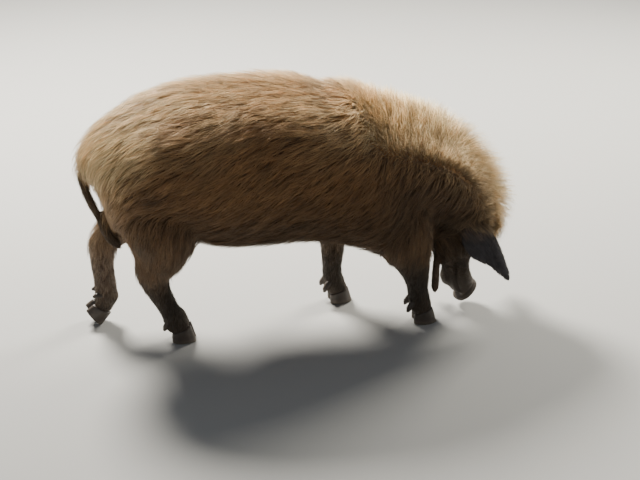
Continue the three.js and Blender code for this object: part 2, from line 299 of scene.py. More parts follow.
# %% [markdown]
# A voxel remesh turns overlapping lumps into one closed skin. It can leave small bubbles
# where lumps met, so only the biggest connected shell is kept. Each face of the solids
# keeps the number of its part, to tell later which part a point of skin lies nearest to.
# %% Remesh and keep the outer shell
def remeshed(points, faces, voxel):
    rough = bpy.data.meshes.new("rough")
    rough.from_pydata(points, [], faces)
    maker = bpy.data.objects.new("rough", rough)
    SCENE.collection.objects.link(maker)
    remesh = maker.modifiers.new("melt", "REMESH")
    remesh.mode = "VOXEL"
    remesh.voxel_size = voxel
    ready = maker.evaluated_get(bpy.context.evaluated_depsgraph_get())
    result = bpy.data.meshes.new_from_object(ready)
    bpy.data.objects.remove(maker)
    return result


def keep_outer_shell(mesh):
    count = len(mesh.vertices)
    edges = edges_of(mesh)
    label = np.arange(count)
    while True:
        lower = label.copy()
        np.minimum.at(lower, edges[:, 0], label[edges[:, 1]])
        np.minimum.at(lower, edges[:, 1], label[edges[:, 0]])
        lower = lower[lower]
        if np.array_equal(lower, label):
            break
        label = lower
    biggest = np.bincount(label).argmax()
    stray = np.flatnonzero(label != biggest)
    work = bmesh.new()
    work.from_mesh(mesh)
    work.verts.ensure_lookup_table()
    bmesh.ops.delete(work, geom=[work.verts[i] for i in stray], context="VERTS")
    work.to_mesh(mesh)
    work.free()
    return len(stray)


flesh_points, flesh_faces, flesh_owner = joined_flesh()
flesh_tree = BVHTree.FromPolygons(flesh_points, flesh_faces)
skin_mesh = remeshed(flesh_points, flesh_faces, SKIN_VOXEL)
stray = keep_outer_shell(skin_mesh)
print("skin:", len(skin_mesh.vertices), "points;", stray, "stray points inside taken out")


# %% [markdown]
# ## Where a point lies on the animal
# Two guides are used again and again: the owner of a point, which is the solid it is
# nearest to, and its place round the neck, where the mane stands along the crest.
# %% Owners
def owners_of(points):
    owner = np.empty(len(points), dtype=int)
    for index, point in enumerate(points):
        owner[index] = flesh_owner[flesh_tree.find_nearest(Vector(point))[2]]
    return owner


def owned_by(owner, *names):
    wanted = [number for number, name in enumerate(FLESH) if name.startswith(names)]
    return np.isin(owner, wanted)


print("owners are numbered 0 to", len(FLESH) - 1)


# %% [markdown]
# The neck is a bent tube, so the way up to its crest changes along it. A chain of points
# down its middle gives each place how far along the neck it is, which way is out, and how
# near it is to the crest. The head has a turned frame of its own for the same reason.
# %% Round the neck
def neck_place(places):
    """How far along the neck, the way out from its line, and 1 at the crest to -1 below."""
    steps = np.diff(NECK_LINE, axis=0)
    lengths = np.linalg.norm(steps, axis=1)
    starts = np.concatenate([[0], np.cumsum(lengths)[:-1]])
    best = np.full(len(places), np.inf)
    along = np.zeros(len(places))
    outward = np.zeros_like(places)
    crest = np.zeros(len(places))
    for start, step, length, first in zip(NECK_LINE[:-1], steps, lengths, starts):
        way = step / length
        top = np.array([-way[2], 0, way[0]])
        t = np.clip((places - start) @ way, 0, length)
        offset = places - (start + t[:, None] * way)
        distance = np.linalg.norm(offset, axis=1)
        nearer = distance < best
        best[nearer] = distance[nearer]
        along[nearer] = (first + t[nearer]) / lengths.sum()
        outward[nearer] = unit(offset[nearer])
        crest[nearer] = outward[nearer] @ top
    return along, outward, crest


def crest_way(places):
    """The way up the side of the neck to its crest, and out past it."""
    way = places - NECK_HUB
    way[:, 1] = 0
    return unit(way)


def in_head(places):
    """Places in the head's own frame: x to the forehead, z up from the poll."""
    turn = Matrix.Rotation(HEAD_PITCH, 3, "Y")
    return (places - POLL) @ np.array(turn.transposed())


def from_head(places):
    turn = Matrix.Rotation(-HEAD_PITCH, 3, "Y")
    return places @ np.array(turn.transposed()) + POLL


print("neck line runs from", NECK_LINE[0], "to", NECK_LINE[-1])


# %% [markdown]
# The flat disc at the end of the snout and the two eyes have their own places in the head's
# frame. They are named once here, so that solids, skin and hair all agree on them.
# %% The snout's disc and the eyes' places
DISC_AT = np.array([0.006, 0.0, -0.228])
DISC_TIP = 0.66  # how far the disc's face leans, in radians
EYE_AT = np.array([0.022, 0.051, -0.076])  # the left eye in the head's frame
EYE_RADIUS = 0.011


def in_disc(local):
    turn = Matrix.Rotation(DISC_TIP, 3, "Y")
    return (local - DISC_AT) @ np.array(turn.transposed())


def eye_centre(side):
    return from_head(EYE_AT * np.array([1, side, 1]))


def eye_distance(places):
    gaps = [np.linalg.norm(places - eye_centre(side), axis=1) for side in SIDES.values()]
    return np.minimum(*gaps)


print("eyes at", [eye_centre(side).round(3).tolist() for side in SIDES.values()])


# %% [markdown]
# The coat's depth is how far the tips of the hair stand off the skin. It is greatest on
# the crest of the neck, a finger's width on the back, and almost nothing on the feet.
# One number for the whole body would be simpler, but it would bury the face and hooves.
# %% How deep the coat is
MANE_DEPTH = 0.064
LID_DEPTH = 0.0020
THIN_DEPTH = {"ear": 0.0010, "tail": 0.0020, "tassel": 0.0012}
FACE_TOP = (0.165, 0.200)  # the mane gives way to the face's short hair between these heights


def mane_amount(places, owner):
    along, outward, crest = neck_place(places)
    amount = smooth_step(0.06, 0.46, along) * smooth_step(0.30, 0.94, crest)
    fore = owned_by(owner, "neck", "head", "trunk")
    above_face = smooth_step(*FACE_TOP, places[:, 2])
    return amount * fore * above_face, outward


def body_depth(places, normals):
    top = smooth_step(0.0, 0.8, normals[:, 2])
    under = smooth_step(0.2, 0.8, -normals[:, 2])
    withers = smooth_step(0.02, 0.26, places[:, 0]) * top
    return 0.014 + 0.007 * top + 0.014 * withers - 0.004 * under


def face_depth(places):
    down = -in_head(places)[:, 2]
    snout = smooth_step(0.05, 0.19, down)
    disc = smooth_step(0.19, 0.22, down)
    depth = 0.0085 - 0.0070 * snout - 0.0012 * disc
    return LID_DEPTH + (depth - LID_DEPTH) * smooth_step(0.020, 0.042, eye_distance(places))


def leg_depth(places):
    shank = smooth_step(0.05, 0.09, places[:, 2])
    thigh = smooth_step(0.15, 0.30, places[:, 2])
    return 0.0012 + 0.0018 * shank + 0.0090 * thigh


def coat_depth(places, normals, owner, edges):
    _, _, crest = neck_place(places)
    neck_depth = 0.020 - 0.007 * smooth_step(0.2, 0.9, -crest)
    depth = np.where(owned_by(owner, "neck"), neck_depth, body_depth(places, normals))
    depth = np.where(owned_by(owner, "head"), face_depth(places), depth)
    depth = np.where(owned_by(owner, "leg"), leg_depth(places), depth)
    for part, thin in THIN_DEPTH.items():
        depth = np.where(owned_by(owner, part), thin, depth)
    mane, _ = mane_amount(places, owner)
    depth = depth + (MANE_DEPTH - depth) * mane
    return spread(depth, edges, 24)


print("the coat is deepest on the mane:", MANE_DEPTH * 1000, "mm")


# %% [markdown]
# The solids' facets would show through thin hair, so each point is averaged with its
# neighbours many times over: a lot on the round body, hardly at all on the ears and tail,
# which would shrink. Then each point moves in by the depth of its coat, and on the mane
# straight in from the crest.
# %% Smooth the facets and draw the skin in
SMOOTH_ROUNDS = 60
SMOOTHING = {
    "head": 0.07, "neck": 0.5, "trunk": 0.5, "tail": 0.015, "leg": 0.12, "ear": 0.03,
    "tassel": 0.015,
}


def drawn_in(mesh):
    places = points_of(mesh) - MIDDLE
    edges = edges_of(mesh)
    owner = owners_of(places + MIDDLE)
    amount = np.zeros(len(places))
    for part, value in SMOOTHING.items():
        amount[owned_by(owner, part)] = value
    amount = spread(amount, edges, 8)
    places = spread(places, edges, SMOOTH_ROUNDS, amount[:, None])
    put_points(mesh, places + MIDDLE)
    normals = unit(spread(normals_of(mesh), edges, 3))
    depth = coat_depth(places, normals, owner, edges)
    mane, outward = mane_amount(places, owner)
    mane = spread(mane, edges, 12)[:, None]
    way = unit(normals * (1 - mane) + outward * mane)
    skin_places = places - way * depth[:, None]
    skin_places = spread(skin_places, edges, 6, np.minimum(amount, 0.4)[:, None])
    put_points(mesh, skin_places + MIDDLE)
    return owner, depth, places


first_owner, first_depth, first_places = drawn_in(skin_mesh)
print("coat depth from", round(first_depth.min() * 1000, 1), "to",
      round(first_depth.max() * 1000, 1), "mm")


# %% [markdown]
# The head needs finer skin than the flank. The body's points are thinned by a Decimate
# modifier that leaves the head alone, and the head's faces are then cut in four.
# %% Fine skin on the head, coarse on the body
BODY_KEEP = 0.24
EYE_REACH = 0.021  # finer skin this near an eye
DISC_REACH = 0.037  # and this near the middle of the snout's disc


def on_fine_part(places, owner):
    return owned_by(owner, "head", "ear", "tassel") & (places[:, 2] < 0.30)


def thinned(mesh, keep):
    maker = bpy.data.objects.new("thin", mesh)
    SCENE.collection.objects.link(maker)
    group = maker.vertex_groups.new(name="body")
    group.add([int(i) for i in np.flatnonzero(keep)], 1.0, "REPLACE")
    thin = maker.modifiers.new("thin", "DECIMATE")
    thin.ratio = BODY_KEEP
    thin.vertex_group = group.name
    ready = maker.evaluated_get(bpy.context.evaluated_depsgraph_get())
    result = bpy.data.meshes.new_from_object(ready)
    bpy.data.objects.remove(maker)
    return result


def cut_finer(mesh, wanted):
    """Cuts every edge whose middle is wanted in two, and its faces with it."""
    work = bmesh.new()
    work.from_mesh(mesh)
    middles = np.array([(edge.verts[0].co + edge.verts[1].co) / 2 for edge in work.edges])
    chosen = wanted(middles - MIDDLE)
    cut = [edge for edge, pick in zip(work.edges, chosen) if pick]
    bmesh.ops.subdivide_edges(work, edges=cut, cuts=1, use_grid_fill=True)
    bmesh.ops.triangulate(work, faces=[face for face in work.faces if len(face.verts) > 3])
    work.to_mesh(mesh)
    work.free()


drawn_tree = KDTree(len(first_places))
for index, point in enumerate(points_of(skin_mesh)):
    drawn_tree.insert(Vector(point), index)
drawn_tree.balance()


def carried_over(points):
    """For each point, the index of the nearest point of the first skin."""
    return np.array([drawn_tree.find(Vector(point))[1] for point in points])


fine = on_fine_part(first_places, first_owner)
skin_mesh = thinned(skin_mesh, ~fine)
cut_finer(skin_mesh, lambda p: on_fine_part(p, first_owner[carried_over(p + MIDDLE)]))
cut_finer(skin_mesh, lambda p: eye_distance(p) < EYE_REACH)
cut_finer(skin_mesh, lambda p: np.linalg.norm(in_disc(in_head(p)), axis=1) < DISC_REACH)
print("skin now:", len(skin_mesh.vertices), "points,", len(triangles_of(skin_mesh)), "triangles")


# %% [markdown]
# ## The face
# Under the hair a pig's face has heavy lids, folds across the bridge of the snout, and a
# long mouth that turns up into the cheek. They are pressed into the fine skin of the head.
# %% Lids round each eye
LID_THICK = 0.0030
LID_REACH = 0.030  # the lids shape the skin this far round the eye's centre
LID_CREASE, LID_ROLL = 0.0010, 0.0007
SLIT_SINK = 0.0035  # inside the slit, the skin drops this far behind the eyeball
OPENING_LONG = 0.74  # half the slit's length, as a share of the eyeball's radius
OPENING_HIGH = 0.46  # and half its height


def eye_axes(side):
    """The way the eye looks, and the long and the short way of its slit, in the head."""
    gaze = unit(np.array([0.42, side * 0.90, -0.06]))
    long_way = np.array([0.30, 0.0, 0.95])
    long_way = unit(long_way - gaze * (gaze @ long_way))
    return gaze, long_way, np.cross(gaze, long_way)


def slit_gap(way, side):
    """How far a way out of the eye is from the edge of the slit; below 0 inside it."""
    gaze, long_way, short_way = eye_axes(side)
    across = way @ long_way / OPENING_LONG
    height = OPENING_HIGH * np.clip(1 - across**2, 0, 1) ** 0.8
    gap = np.abs(way @ short_way) - height
    past_corner = np.maximum(np.abs(across) - 1, 0) * OPENING_LONG
    gap = np.where(past_corner > 0, np.hypot(past_corner, np.maximum(gap, 0)), gap)
    return np.where(way @ gaze > 0.05, gap, 1.0)


def press_lids(local):
    for side in SIDES.values():
        centre = EYE_AT * np.array([1, side, 1])
        offset = local - centre
        distance = np.linalg.norm(offset, axis=1)
        way = unit(offset)
        gap = slit_gap(way, side)
        crease = LID_CREASE * np.exp(-(((gap - 0.42) / 0.07) ** 2))
        roll = LID_ROLL * np.exp(-((gap / 0.12) ** 2))
        lid = EYE_RADIUS + LID_THICK + roll - crease
        near = smooth_step(LID_REACH, 0.017, distance) * smooth_step(0.85, 0.30, gap)
        lidded = near * lid + (1 - near) * np.maximum(distance, lid)
        target = np.where(gap > 0, lidded, EYE_RADIUS - SLIT_SINK)
        weight = (distance < LID_REACH)[:, None]
        local = np.where(weight, centre + way * target[:, None], local)
    return local


print("the slit is", round(2000 * OPENING_LONG * EYE_RADIUS, 1), "mm long")


# %% [markdown]
# The folds on the bridge of the snout arch over it and wander. A wave whose phase bends
# from place to place draws them with less repeat than a fixed pattern would. The mouth is
# a groove along a short chain of points, and the disc has a raised rim and two nostrils.
# %% Folds, mouth and nostrils
MOUTH_LINE = np.array([
    [-0.014, -0.214], [-0.020, -0.196], [-0.023, -0.172], [-0.022, -0.150], [-0.030, -0.132],
])
MOUTH_TOP = -0.12
FOLD_SPACING, FOLD_HEIGHT = 0.0135, 0.0006
BROW_SPACING, BROW_HEIGHT = 0.016, 0.0012
MOUTH_GROOVE, LIP_HEIGHT, JOWL_CREASE = 0.0034, 0.0014, 0.0022
RIM_RADIUS, RIM_HEIGHT, DISH_DEPTH, FURROW_DEPTH = 0.0285, 0.0011, 0.0006, 0.0016
NOSTRIL_SIDE, NOSTRIL_DEPTH, NOSTRIL_RIM = 0.0130, 0.0085, 0.0012


def gap_to_line(flat, line):
    best = np.full(len(flat), np.inf)
    for start, end in zip(line[:-1], line[1:]):
        step = end - start
        t = np.clip((flat - start) @ step / (step @ step), 0, 1)
        best = np.minimum(best, np.linalg.norm(flat - start - t[:, None] * step, axis=1))
    return best


def fold_height(local):
    """Folds on the bridge and brow, the groove and lips of the mouth, and the jowl's crease."""
    x, y, z = local.T
    front = smooth_step(0.002, 0.014, x)
    bridge = smooth_step(-0.214, -0.205, z) * smooth_step(-0.118, -0.150, z)
    arch = z + 0.10 * y**2 / 0.03
    arch = arch + 0.0022 * np.sin(y / 0.0060 + 70 * z) + 0.0016 * np.sin(z / 0.0052 - y / 0.014)
    ridges = np.cos(2 * math.pi * arch / FOLD_SPACING)
    height = FOLD_HEIGHT * ridges * front * bridge
    brow = np.exp(-(((z + 0.040) / 0.022) ** 2)) * smooth_step(0.02, 0.04, x)
    height += BROW_HEIGHT * np.cos(2 * math.pi * (z + 0.6 * np.abs(y)) / BROW_SPACING) * brow
    mouth = gap_to_line(np.stack([x, z], axis=1), MOUTH_LINE)
    height -= MOUTH_GROOVE * np.exp(-((mouth / 0.0032) ** 2)) * (z < MOUTH_TOP)
    height += LIP_HEIGHT * np.exp(-(((mouth - 0.008) / 0.004) ** 2)) * (z < MOUTH_TOP)
    jowl = np.abs(z + 0.105 + 0.35 * (x + 0.04))
    height -= JOWL_CREASE * np.exp(-((jowl / 0.006) ** 2)) * smooth_step(0.0, -0.03, x)
    return height


def disc_height(local):
    """The snout's disc: a raised rim with a furrow behind it, and two oval nostrils."""
    x, y, z = in_disc(local).T
    across = np.hypot(x, y / 1.06)
    face = smooth_step(0.002, -0.004, z)
    rim = np.exp(-(((across - RIM_RADIUS) / 0.0035) ** 2)) * face
    dish = smooth_step(0.022, 0.006, across) * face
    furrow = np.exp(-(((z - 0.0075) / 0.0028) ** 2)) * smooth_step(0.024, 0.030, across)
    height = RIM_HEIGHT * rim - DISH_DEPTH * dish - FURROW_DEPTH * furrow * (np.abs(z) < 0.02)
    for side in SIDES.values():
        hole = np.hypot((x - 0.001) / 1.25, y - side * NOSTRIL_SIDE)
        height -= NOSTRIL_DEPTH * smooth_step(0.0068, 0.0036, hole) * face
        height += NOSTRIL_RIM * np.exp(-(((hole - 0.0080) / 0.0016) ** 2)) * face
    return height


print("the mouth's line has", len(MOUTH_LINE), "points on each side")


# %% [markdown]
# Folds and disc push the skin along its own normals, and the lids are pressed in last, so
# that nothing disturbs the slit. A little smoothing blends the lids into the cheek.
# %% Shape the face
def shape_face(mesh, owner):
    places = points_of(mesh) - MIDDLE
    edges = edges_of(mesh)
    normals = normals_of(mesh)
    head = owned_by(owner, "head").astype(float)
    head = spread(head, edges, 4)
    local = in_head(places)
    places = places + normals * (fold_height(local) * head)[:, None]
    normals = unit(spread(normals, edges, 3))
    places = places + normals * (disc_height(local) * head)[:, None]
    lidded = from_head(press_lids(in_head(places)))
    close = eye_distance(places)[:, None] < 0.035
    ready = np.where(close, lidded, places)
    rough = 0.35 * (close[:, 0] & (eye_distance(ready) > 0.0138))
    ready = relax(ready, edges, 2, rough)
    put_points(mesh, ready + MIDDLE)


skin_source = carried_over(points_of(skin_mesh))
skin_owner = first_owner[skin_source]
shape_face(skin_mesh, skin_owner)
print("face shaped; eyes at", [eye_centre(side).round(3).tolist() for side in SIDES.values()])


# %% [markdown]
# ## Markings and the lie of the hair
# The pig is ginger, blond along the back, rump and mane where the hair is longest, and
# darker on the legs and face. The blond on the back and rump is partly painted highlight,
# and the brown low on the trunk partly painted shade. Colours and hair are both functions
# of the place on the body, kept as one value for each point of the skin. Skin and coat
# read the same values.
# %% Colours over the body
BLOND = np.array([0.86, 0.555, 0.245])
CREAM = np.array([0.97, 0.85, 0.52])
GINGER = np.array([0.335, 0.172, 0.060])
BROWN = np.array([0.138, 0.080, 0.036])
DARK = np.array([0.043, 0.034, 0.022])
# the next colour is painted light on the far hind shank, lit from behind
SUNLIT_SHANK = np.array([0.270, 0.185, 0.125])
SLATE = np.array([0.050, 0.047, 0.054])
PATCHES = [  # small dark spots on the haunches: place, and half length along and up
    ((-0.196, -0.17, 0.405), 0.020, 0.008),
    ((-0.251, -0.16, 0.325), 0.024, 0.007),
    ((-0.090, 0.18, 0.350), 0.022, 0.012),
    ((0.080, -0.18, 0.300), 0.014, 0.007),
]


BLOTCH_SIZE, STREAK_SIZE, SWIRL_SIZE = 0.16, 0.045, 0.22


def blotches(places, size, seed):
    """Slow, smooth noise between -1 and 1, from a few crossing waves."""
    maker = np.random.default_rng(seed)
    total = np.zeros(len(places))
    for _ in range(7):
        way = unit(maker.normal(size=3)) * maker.uniform(0.7, 1.6) * 2 * math.pi / size
        total += np.sin(places @ way + maker.uniform(0, 6.3))
    return total / 3.5


def mixed(first, second, amount):
    return first + (second - first) * np.asarray(amount)[:, None]


print("base colours, ginger and blond:", GINGER, BLOND)


# %% [markdown]
# Each rule paints one marking over the last: blond where a surface faces up, partly as
# painted highlight, brown low down, partly as painted shade, and dark on the face and
# feet. Smooth steps between two heights leave no hard edge, as an image would at its
# seams, and slow noise keeps the edges from running straight.
# %% Markings
def trunk_colour(places, normals, patchy, streak):
    """Ginger, blond on the back and rump, brown low down and in slow blotches."""
    x, _, z = places.T
    # Blond on the top of the back and rump: partly the coat's own colour, partly painted highlight.
    rise = normals[:, 2] + 0.20 * patchy + 0.12 * streak
    saddle = smooth_step(-0.26, -0.08, x) * smooth_step(0.26, 0.12, x)
    rise += 0.16 * smooth_step(-0.16, -0.34, x) - 0.26 * saddle
    back = smooth_step(0.10, 0.92, rise)
    rear = smooth_step(-0.20, -0.36, x + 0.03 * patchy)
    colour = mixed(np.tile(GINGER, (len(places), 1)), BLOND, 0.75 * back + 0.25 * back * rear)
    colour = mixed(colour, BLOND, 0.35 * rear * smooth_step(0.25, 0.40, z))
    # Brown low down: partly the coat's darker underside, partly painted shade.
    low = smooth_step(0.44, 0.26, z + 0.02 * patchy) * (1 - 0.25 * rear)
    colour = mixed(colour, BROWN, 0.80 * low)
    return mixed(colour, BROWN, 0.45 * smooth_step(0.1, 0.9, patchy) * (1 - back))


def pale_crest(places, owner):
    """The mane, and the forelock that carries its colour on to the brow."""
    mane, _ = mane_amount(places, owner)
    along, _, crest = neck_place(places)
    forelock = smooth_step(0.10, 0.65, crest) * smooth_step(0.40, 0.52, places[:, 0])
    forelock *= smooth_step(*FACE_TOP, places[:, 2]) * smooth_step(0.30, 0.55, along)
    return np.maximum(mane, forelock)


def limb_colour(colour, places, owner, patchy, streak):
    """Dark feet, grey ears that are browner at the root, brown tail and tassels."""
    z = places[:, 2]
    ear = owned_by(owner, "ear")
    flap = 0.60 + 0.36 * smooth_step(0.245, 0.195, z + 0.008 * streak)
    # The far hind shank is lightened: painted light, where the light falls on it from behind.
    sunlit_far_shank = owned_by(owner, "leg_hind_left") * smooth_step(0.30, 0.22, z)
    shin = smooth_step(0.24, 0.10, z + 0.02 * patchy)
    colour = mixed(colour, DARK, owned_by(owner, "leg") * 0.88 * shin)
    colour = mixed(colour, BROWN, ear * 0.90)
    colour = mixed(colour, SLATE, ear * flap)
    colour = mixed(colour, (BROWN + 2 * DARK) / 3, owned_by(owner, "tail") * 0.85)
    colour = mixed(colour, SUNLIT_SHANK, 0.55 * sunlit_far_shank * smooth_step(0.04, 0.12, z))
    return mixed(colour, (BROWN + DARK) / 2, owned_by(owner, "tassel") * 0.9)


def head_colour(colour, places, owner, patchy, mane):
    down = -in_head(places)[:, 2]
    head = owned_by(owner, "head") * (1 - mane)
    colour = mixed(colour, BROWN, head * 0.9)
    # The snout darkens: partly its own dark colour, partly painted shade.
    colour = mixed(colour, DARK, head * 0.85 * smooth_step(0.07, 0.18, down + 0.01 * patchy))
    lids = smooth_step(0.030, 0.018, eye_distance(places))
    return mixed(colour, DARK, 0.85 * lids)


def body_colour(places, normals, owner):
    patchy = blotches(places, BLOTCH_SIZE, 3)
    streak = blotches(places * np.array([0.5, 1.4, 1.4]), STREAK_SIZE, 4)
    mane = pale_crest(places, owner)
    colour = trunk_colour(places, normals, patchy, streak)
    colour = mixed(colour, BLOND, 0.80 * mane)
    colour = head_colour(colour, places, owner, patchy, mane)
    colour = limb_colour(colour, places, owner, patchy, streak)
    along, _, crest = neck_place(places)
    cheek = owned_by(owner, "neck") * smooth_step(0.45, 0.05, crest) * smooth_step(0.1, 0.5, along)
    colour = mixed(colour, BROWN, 0.80 * cheek)
    for place, long, high in PATCHES:
        gap = (places - np.array(place)) / np.array([long, 0.06, high])
        spot = smooth_step(1.5, 0.6, np.linalg.norm(gap, axis=1) + 0.3 * streak)
        colour = mixed(colour, DARK, 0.8 * spot)
    return np.clip(colour * (1 + 0.10 * streak[:, None]), 0.01, 0.95)


skin_edges = edges_of(skin_mesh)
skin_calm = unit(spread(normals_of(skin_mesh), skin_edges, 4))
skin_place = first_places[skin_source]  # places before the skin was drawn in
skin_colour = spread(body_colour(skin_place, skin_calm, skin_owner), skin_edges, 2)
print("mean colour of the skin:", skin_colour.mean(axis=0).round(3))


# %% [markdown]
# On a real pig the hair runs back from the head and down the sides, turns down the legs and
# stands up along the mane. Each rule below is one of those currents. Where two meet, they
# are averaged over the skin, and where they part the hairs stand up and close the line.
# %% Which way the hair lies
LIMB_WAYS = {
    "leg": np.array([-0.15, 0.0, -1.0]),
    "tail": unit(np.array([0.35, -0.25, -1.0])),
    "tassel": np.array([0.0, 0.0, -1.0]),
    "ear_left": unit(np.array([0.098, 0.018, -0.138])),
    "ear_right": unit(np.array([0.098, -0.018, -0.138])),
}


def trunk_lie(places, side_on, swirl):
    """Back along the trunk and down its sides, and steeper down the haunches."""
    x, y, z = places.T
    back = [-np.ones(len(places)), 0.30 * np.sign(y) * (1 - side_on), -0.55 * side_on]
    lie = unit(np.stack(back, axis=1) + swirl)
    rear = smooth_step(-0.24, -0.38, x)
    lie = mixed(lie, np.array([-0.35, 0.0, -1.0]), rear * side_on)
    haunch = rear * 0.6 + smooth_step(0.34, 0.24, z) * smooth_step(-0.10, -0.22, x)
    return mixed(lie, np.array([-0.3, 0.0, -1.0]), np.clip(haunch, 0, 1) * side_on)


def ruff_amount(places, owner):
    """The hair beside the mane, which turns up to meet it."""
    along, _, crest = neck_place(places)
    ruff = smooth_step(0.04, 0.30, along) * smooth_step(0.10, 0.55, crest)
    ruff *= owned_by(owner, "neck", "trunk", "head") * smooth_step(0.165, 0.215, places[:, 2])
    fringe = smooth_step(0.40, 0.54, places[:, 0]) * smooth_step(0.45, 0.90, crest)
    return ruff, fringe[:, None] * [0, 0, -0.9]


def lie_of_hair(places, normals, owner, edges, mane):
    swirl = blotches(places, SWIRL_SIZE, 11)[:, None] * np.array([0.10, 0.05, 0.22])
    lie = trunk_lie(places, 1 - np.abs(normals[:, 2]), swirl)
    on_neck = owned_by(owner, "neck")[:, None]
    lie = np.where(on_neck, np.array([-0.75, 0.0, -0.75]) + swirl, lie)
    ruff, fringe = ruff_amount(places, owner)
    lie = mixed(lie, crest_way(places) + 0.4 * swirl + fringe, ruff)
    face_up = from_head(np.array([[0, 0, 1.0]]))[0] - POLL
    head = owned_by(owner, "head") * (1 - np.maximum(mane, ruff))
    lie = mixed(lie, face_up + np.array([-0.5, 0, 0]), head)
    for part, way in LIMB_WAYS.items():
        lie = mixed(lie, way, owned_by(owner, part))
    return spread(lie, edges, 14), ruff


print("ways of the limbs' hair:", sorted(LIMB_WAYS))


# %% [markdown]
# Hair on the legs lies almost flat, and the mane stands nearly straight up. The angle off
# the skin is kept apart from the lie, because length and height are worked out from it.
# %% How steeply the hair stands
BACK_STAND, NECK_STAND, RUFF_STAND, MANE_STAND = 0.42, 0.50, 0.80, 1.15  # in radians
FACE_STAND, PARTED_STAND = 0.30, 1.05
LIMB_STAND = {"leg": 0.24, "ear": 0.38, "tail": 0.26, "tassel": 0.26}


def parting_amount(places, normals, owner, edges, lie, mane):
    """Where the lie runs straight into or out of the skin, because the currents part."""
    flat_lie = lie - normals * (lie * normals).sum(axis=1, keepdims=True)
    parting = smooth_step(0.75, 0.25, np.linalg.norm(flat_lie, axis=1)) * ~owned_by(owner, "ear")
    return spread(parting * smooth_step(0.12, 0.20, places[:, 2]) * (1 - mane), edges, 3)


def hair_guides(places, normals, owner, edges):
    """The hair's lie, its stand, the share of mane in it, and where it parts."""
    x, _, z = places.T
    mane, _ = mane_amount(places, owner)
    lie, ruff = lie_of_hair(places, normals, owner, edges, mane)
    head = owned_by(owner, "head")
    top = smooth_step(0.1, 0.8, normals[:, 2])
    stand = BACK_STAND + 0.08 * top + 0.10 * smooth_step(0.1, 0.28, x) * (1 - head)
    stand = np.where(owned_by(owner, "neck"), NECK_STAND, stand)
    upright = smooth_step(0.185, 0.275, z)
    stand = stand + (RUFF_STAND - stand) * ruff * upright
    stand = stand + (MANE_STAND - stand) * mane * upright
    stand = np.where(head & (mane < 0.05), FACE_STAND, stand)
    for part, value in LIMB_STAND.items():
        stand = np.where(owned_by(owner, part), value, stand)
    parting = parting_amount(places, normals, owner, edges, lie, mane)
    stand = spread(stand, edges, 12)
    stand = stand + np.maximum(PARTED_STAND - stand, 0) * parting
    return lie, stand, np.maximum(mane, 0.6 * ruff), parting


skin_depth = spread(first_depth[skin_source], skin_edges, 2)
skin_lie, skin_stand, skin_mane, skin_parting = hair_guides(
    skin_place, skin_calm, skin_owner, skin_edges)
print("guides ready; steepest hair", round(math.degrees(skin_stand.max())), "degrees")


# %% [markdown]
# ## Finishes
# Small shader groups hold what more than one surface needs: fine grain for skin and horn,
# and the change of a hair's colour from its root to its tip. Each is built once.
# %% Shader helpers
NOISE_DETAIL, NOISE_ROUGHNESS = 3.0, 0.55


def shader_group(name, inputs, outputs):
    group = bpy.data.node_groups.new(name, "ShaderNodeTree")
    for label, kind, value in inputs:
        socket = group.interface.new_socket(label, in_out="INPUT", socket_type=kind)
        socket.default_value = value
    for label, kind in outputs:
        group.interface.new_socket(label, in_out="OUTPUT", socket_type=kind)
    return group, group.nodes.new("NodeGroupInput"), group.nodes.new("NodeGroupOutput")


def new_material(name):
    material = bpy.data.materials.new(name)
    material.use_nodes = True
    nodes = material.node_tree.nodes
    return material, nodes, material.node_tree.links, nodes["Principled BSDF"]


def add_math(tree, operation, first, second):
    node = tree.nodes.new("ShaderNodeMath")
    node.operation = operation
    for socket, value in zip(node.inputs, (first, second)):
        if isinstance(value, (int, float)):
            socket.default_value = value
        else:
            tree.links.new(value, socket)
    return node.outputs[0]


def add_mix(tree, blend, factor, first, second):
    node = tree.nodes.new("ShaderNodeMix")
    node.data_type = "RGBA"
    node.blend_type = blend
    for name, value in (("Factor_Float", factor), ("A_Color", first), ("B_Color", second)):
        socket = next(s for s in node.inputs if s.identifier == name)
        if isinstance(value, (int, float, tuple)):
            socket.default_value = value
        else:
            tree.links.new(value, socket)
    return next(s for s in node.outputs if s.identifier == "Result_Color")


def add_attribute(tree, name):
    node = tree.nodes.new("ShaderNodeAttribute")
    node.attribute_name = name
    return node


def add_noise(tree, vector, scale):
    node = tree.nodes.new("ShaderNodeTexNoise")
    node.inputs["Detail"].default_value = NOISE_DETAIL
    node.inputs["Roughness"].default_value = NOISE_ROUGHNESS
    tree.links.new(vector, node.inputs["Vector"])
    if isinstance(scale, (int, float)):
        node.inputs["Scale"].default_value = scale
    else:
        tree.links.new(scale, node.inputs["Scale"])
    return node.outputs["Fac"]


def add_object_place(tree):
    return tree.nodes.new("ShaderNodeTexCoord").outputs["Object"]


print("shader helpers ready")


# %% [markdown]
# Skin and horn both have fine pores. Cells of a Voronoi pattern make the pores, and noise
# makes them uneven. The group gives a height for bump and a slow mask for mottling.
# %% Fine grain
def make_grain_group():
    group, into, out = shader_group(
        "fine_grain",
        [("Scale", "NodeSocketFloat", 300.0), ("Pores", "NodeSocketFloat", 0.5)],
        [("Height", "NodeSocketFloat"), ("Mask", "NodeSocketFloat")],
    )
    place = add_object_place(group)
    cells = group.nodes.new("ShaderNodeTexVoronoi")
    group.links.new(place, cells.inputs["Vector"])
    group.links.new(into.outputs["Scale"], cells.inputs["Scale"])
    coarse = add_noise(group, place, 38.0)
    fine = add_noise(group, place, into.outputs["Scale"])
    pores = add_math(group, "MULTIPLY", cells.outputs["Distance"], into.outputs["Pores"])
    height = add_math(group, "ADD", add_math(group, "MULTIPLY", fine, 0.4), pores)
    group.links.new(height, out.inputs["Height"])
    group.links.new(coarse, out.inputs["Mask"])
    return group


GRAIN = make_grain_group()
print("shader group:", GRAIN.name)


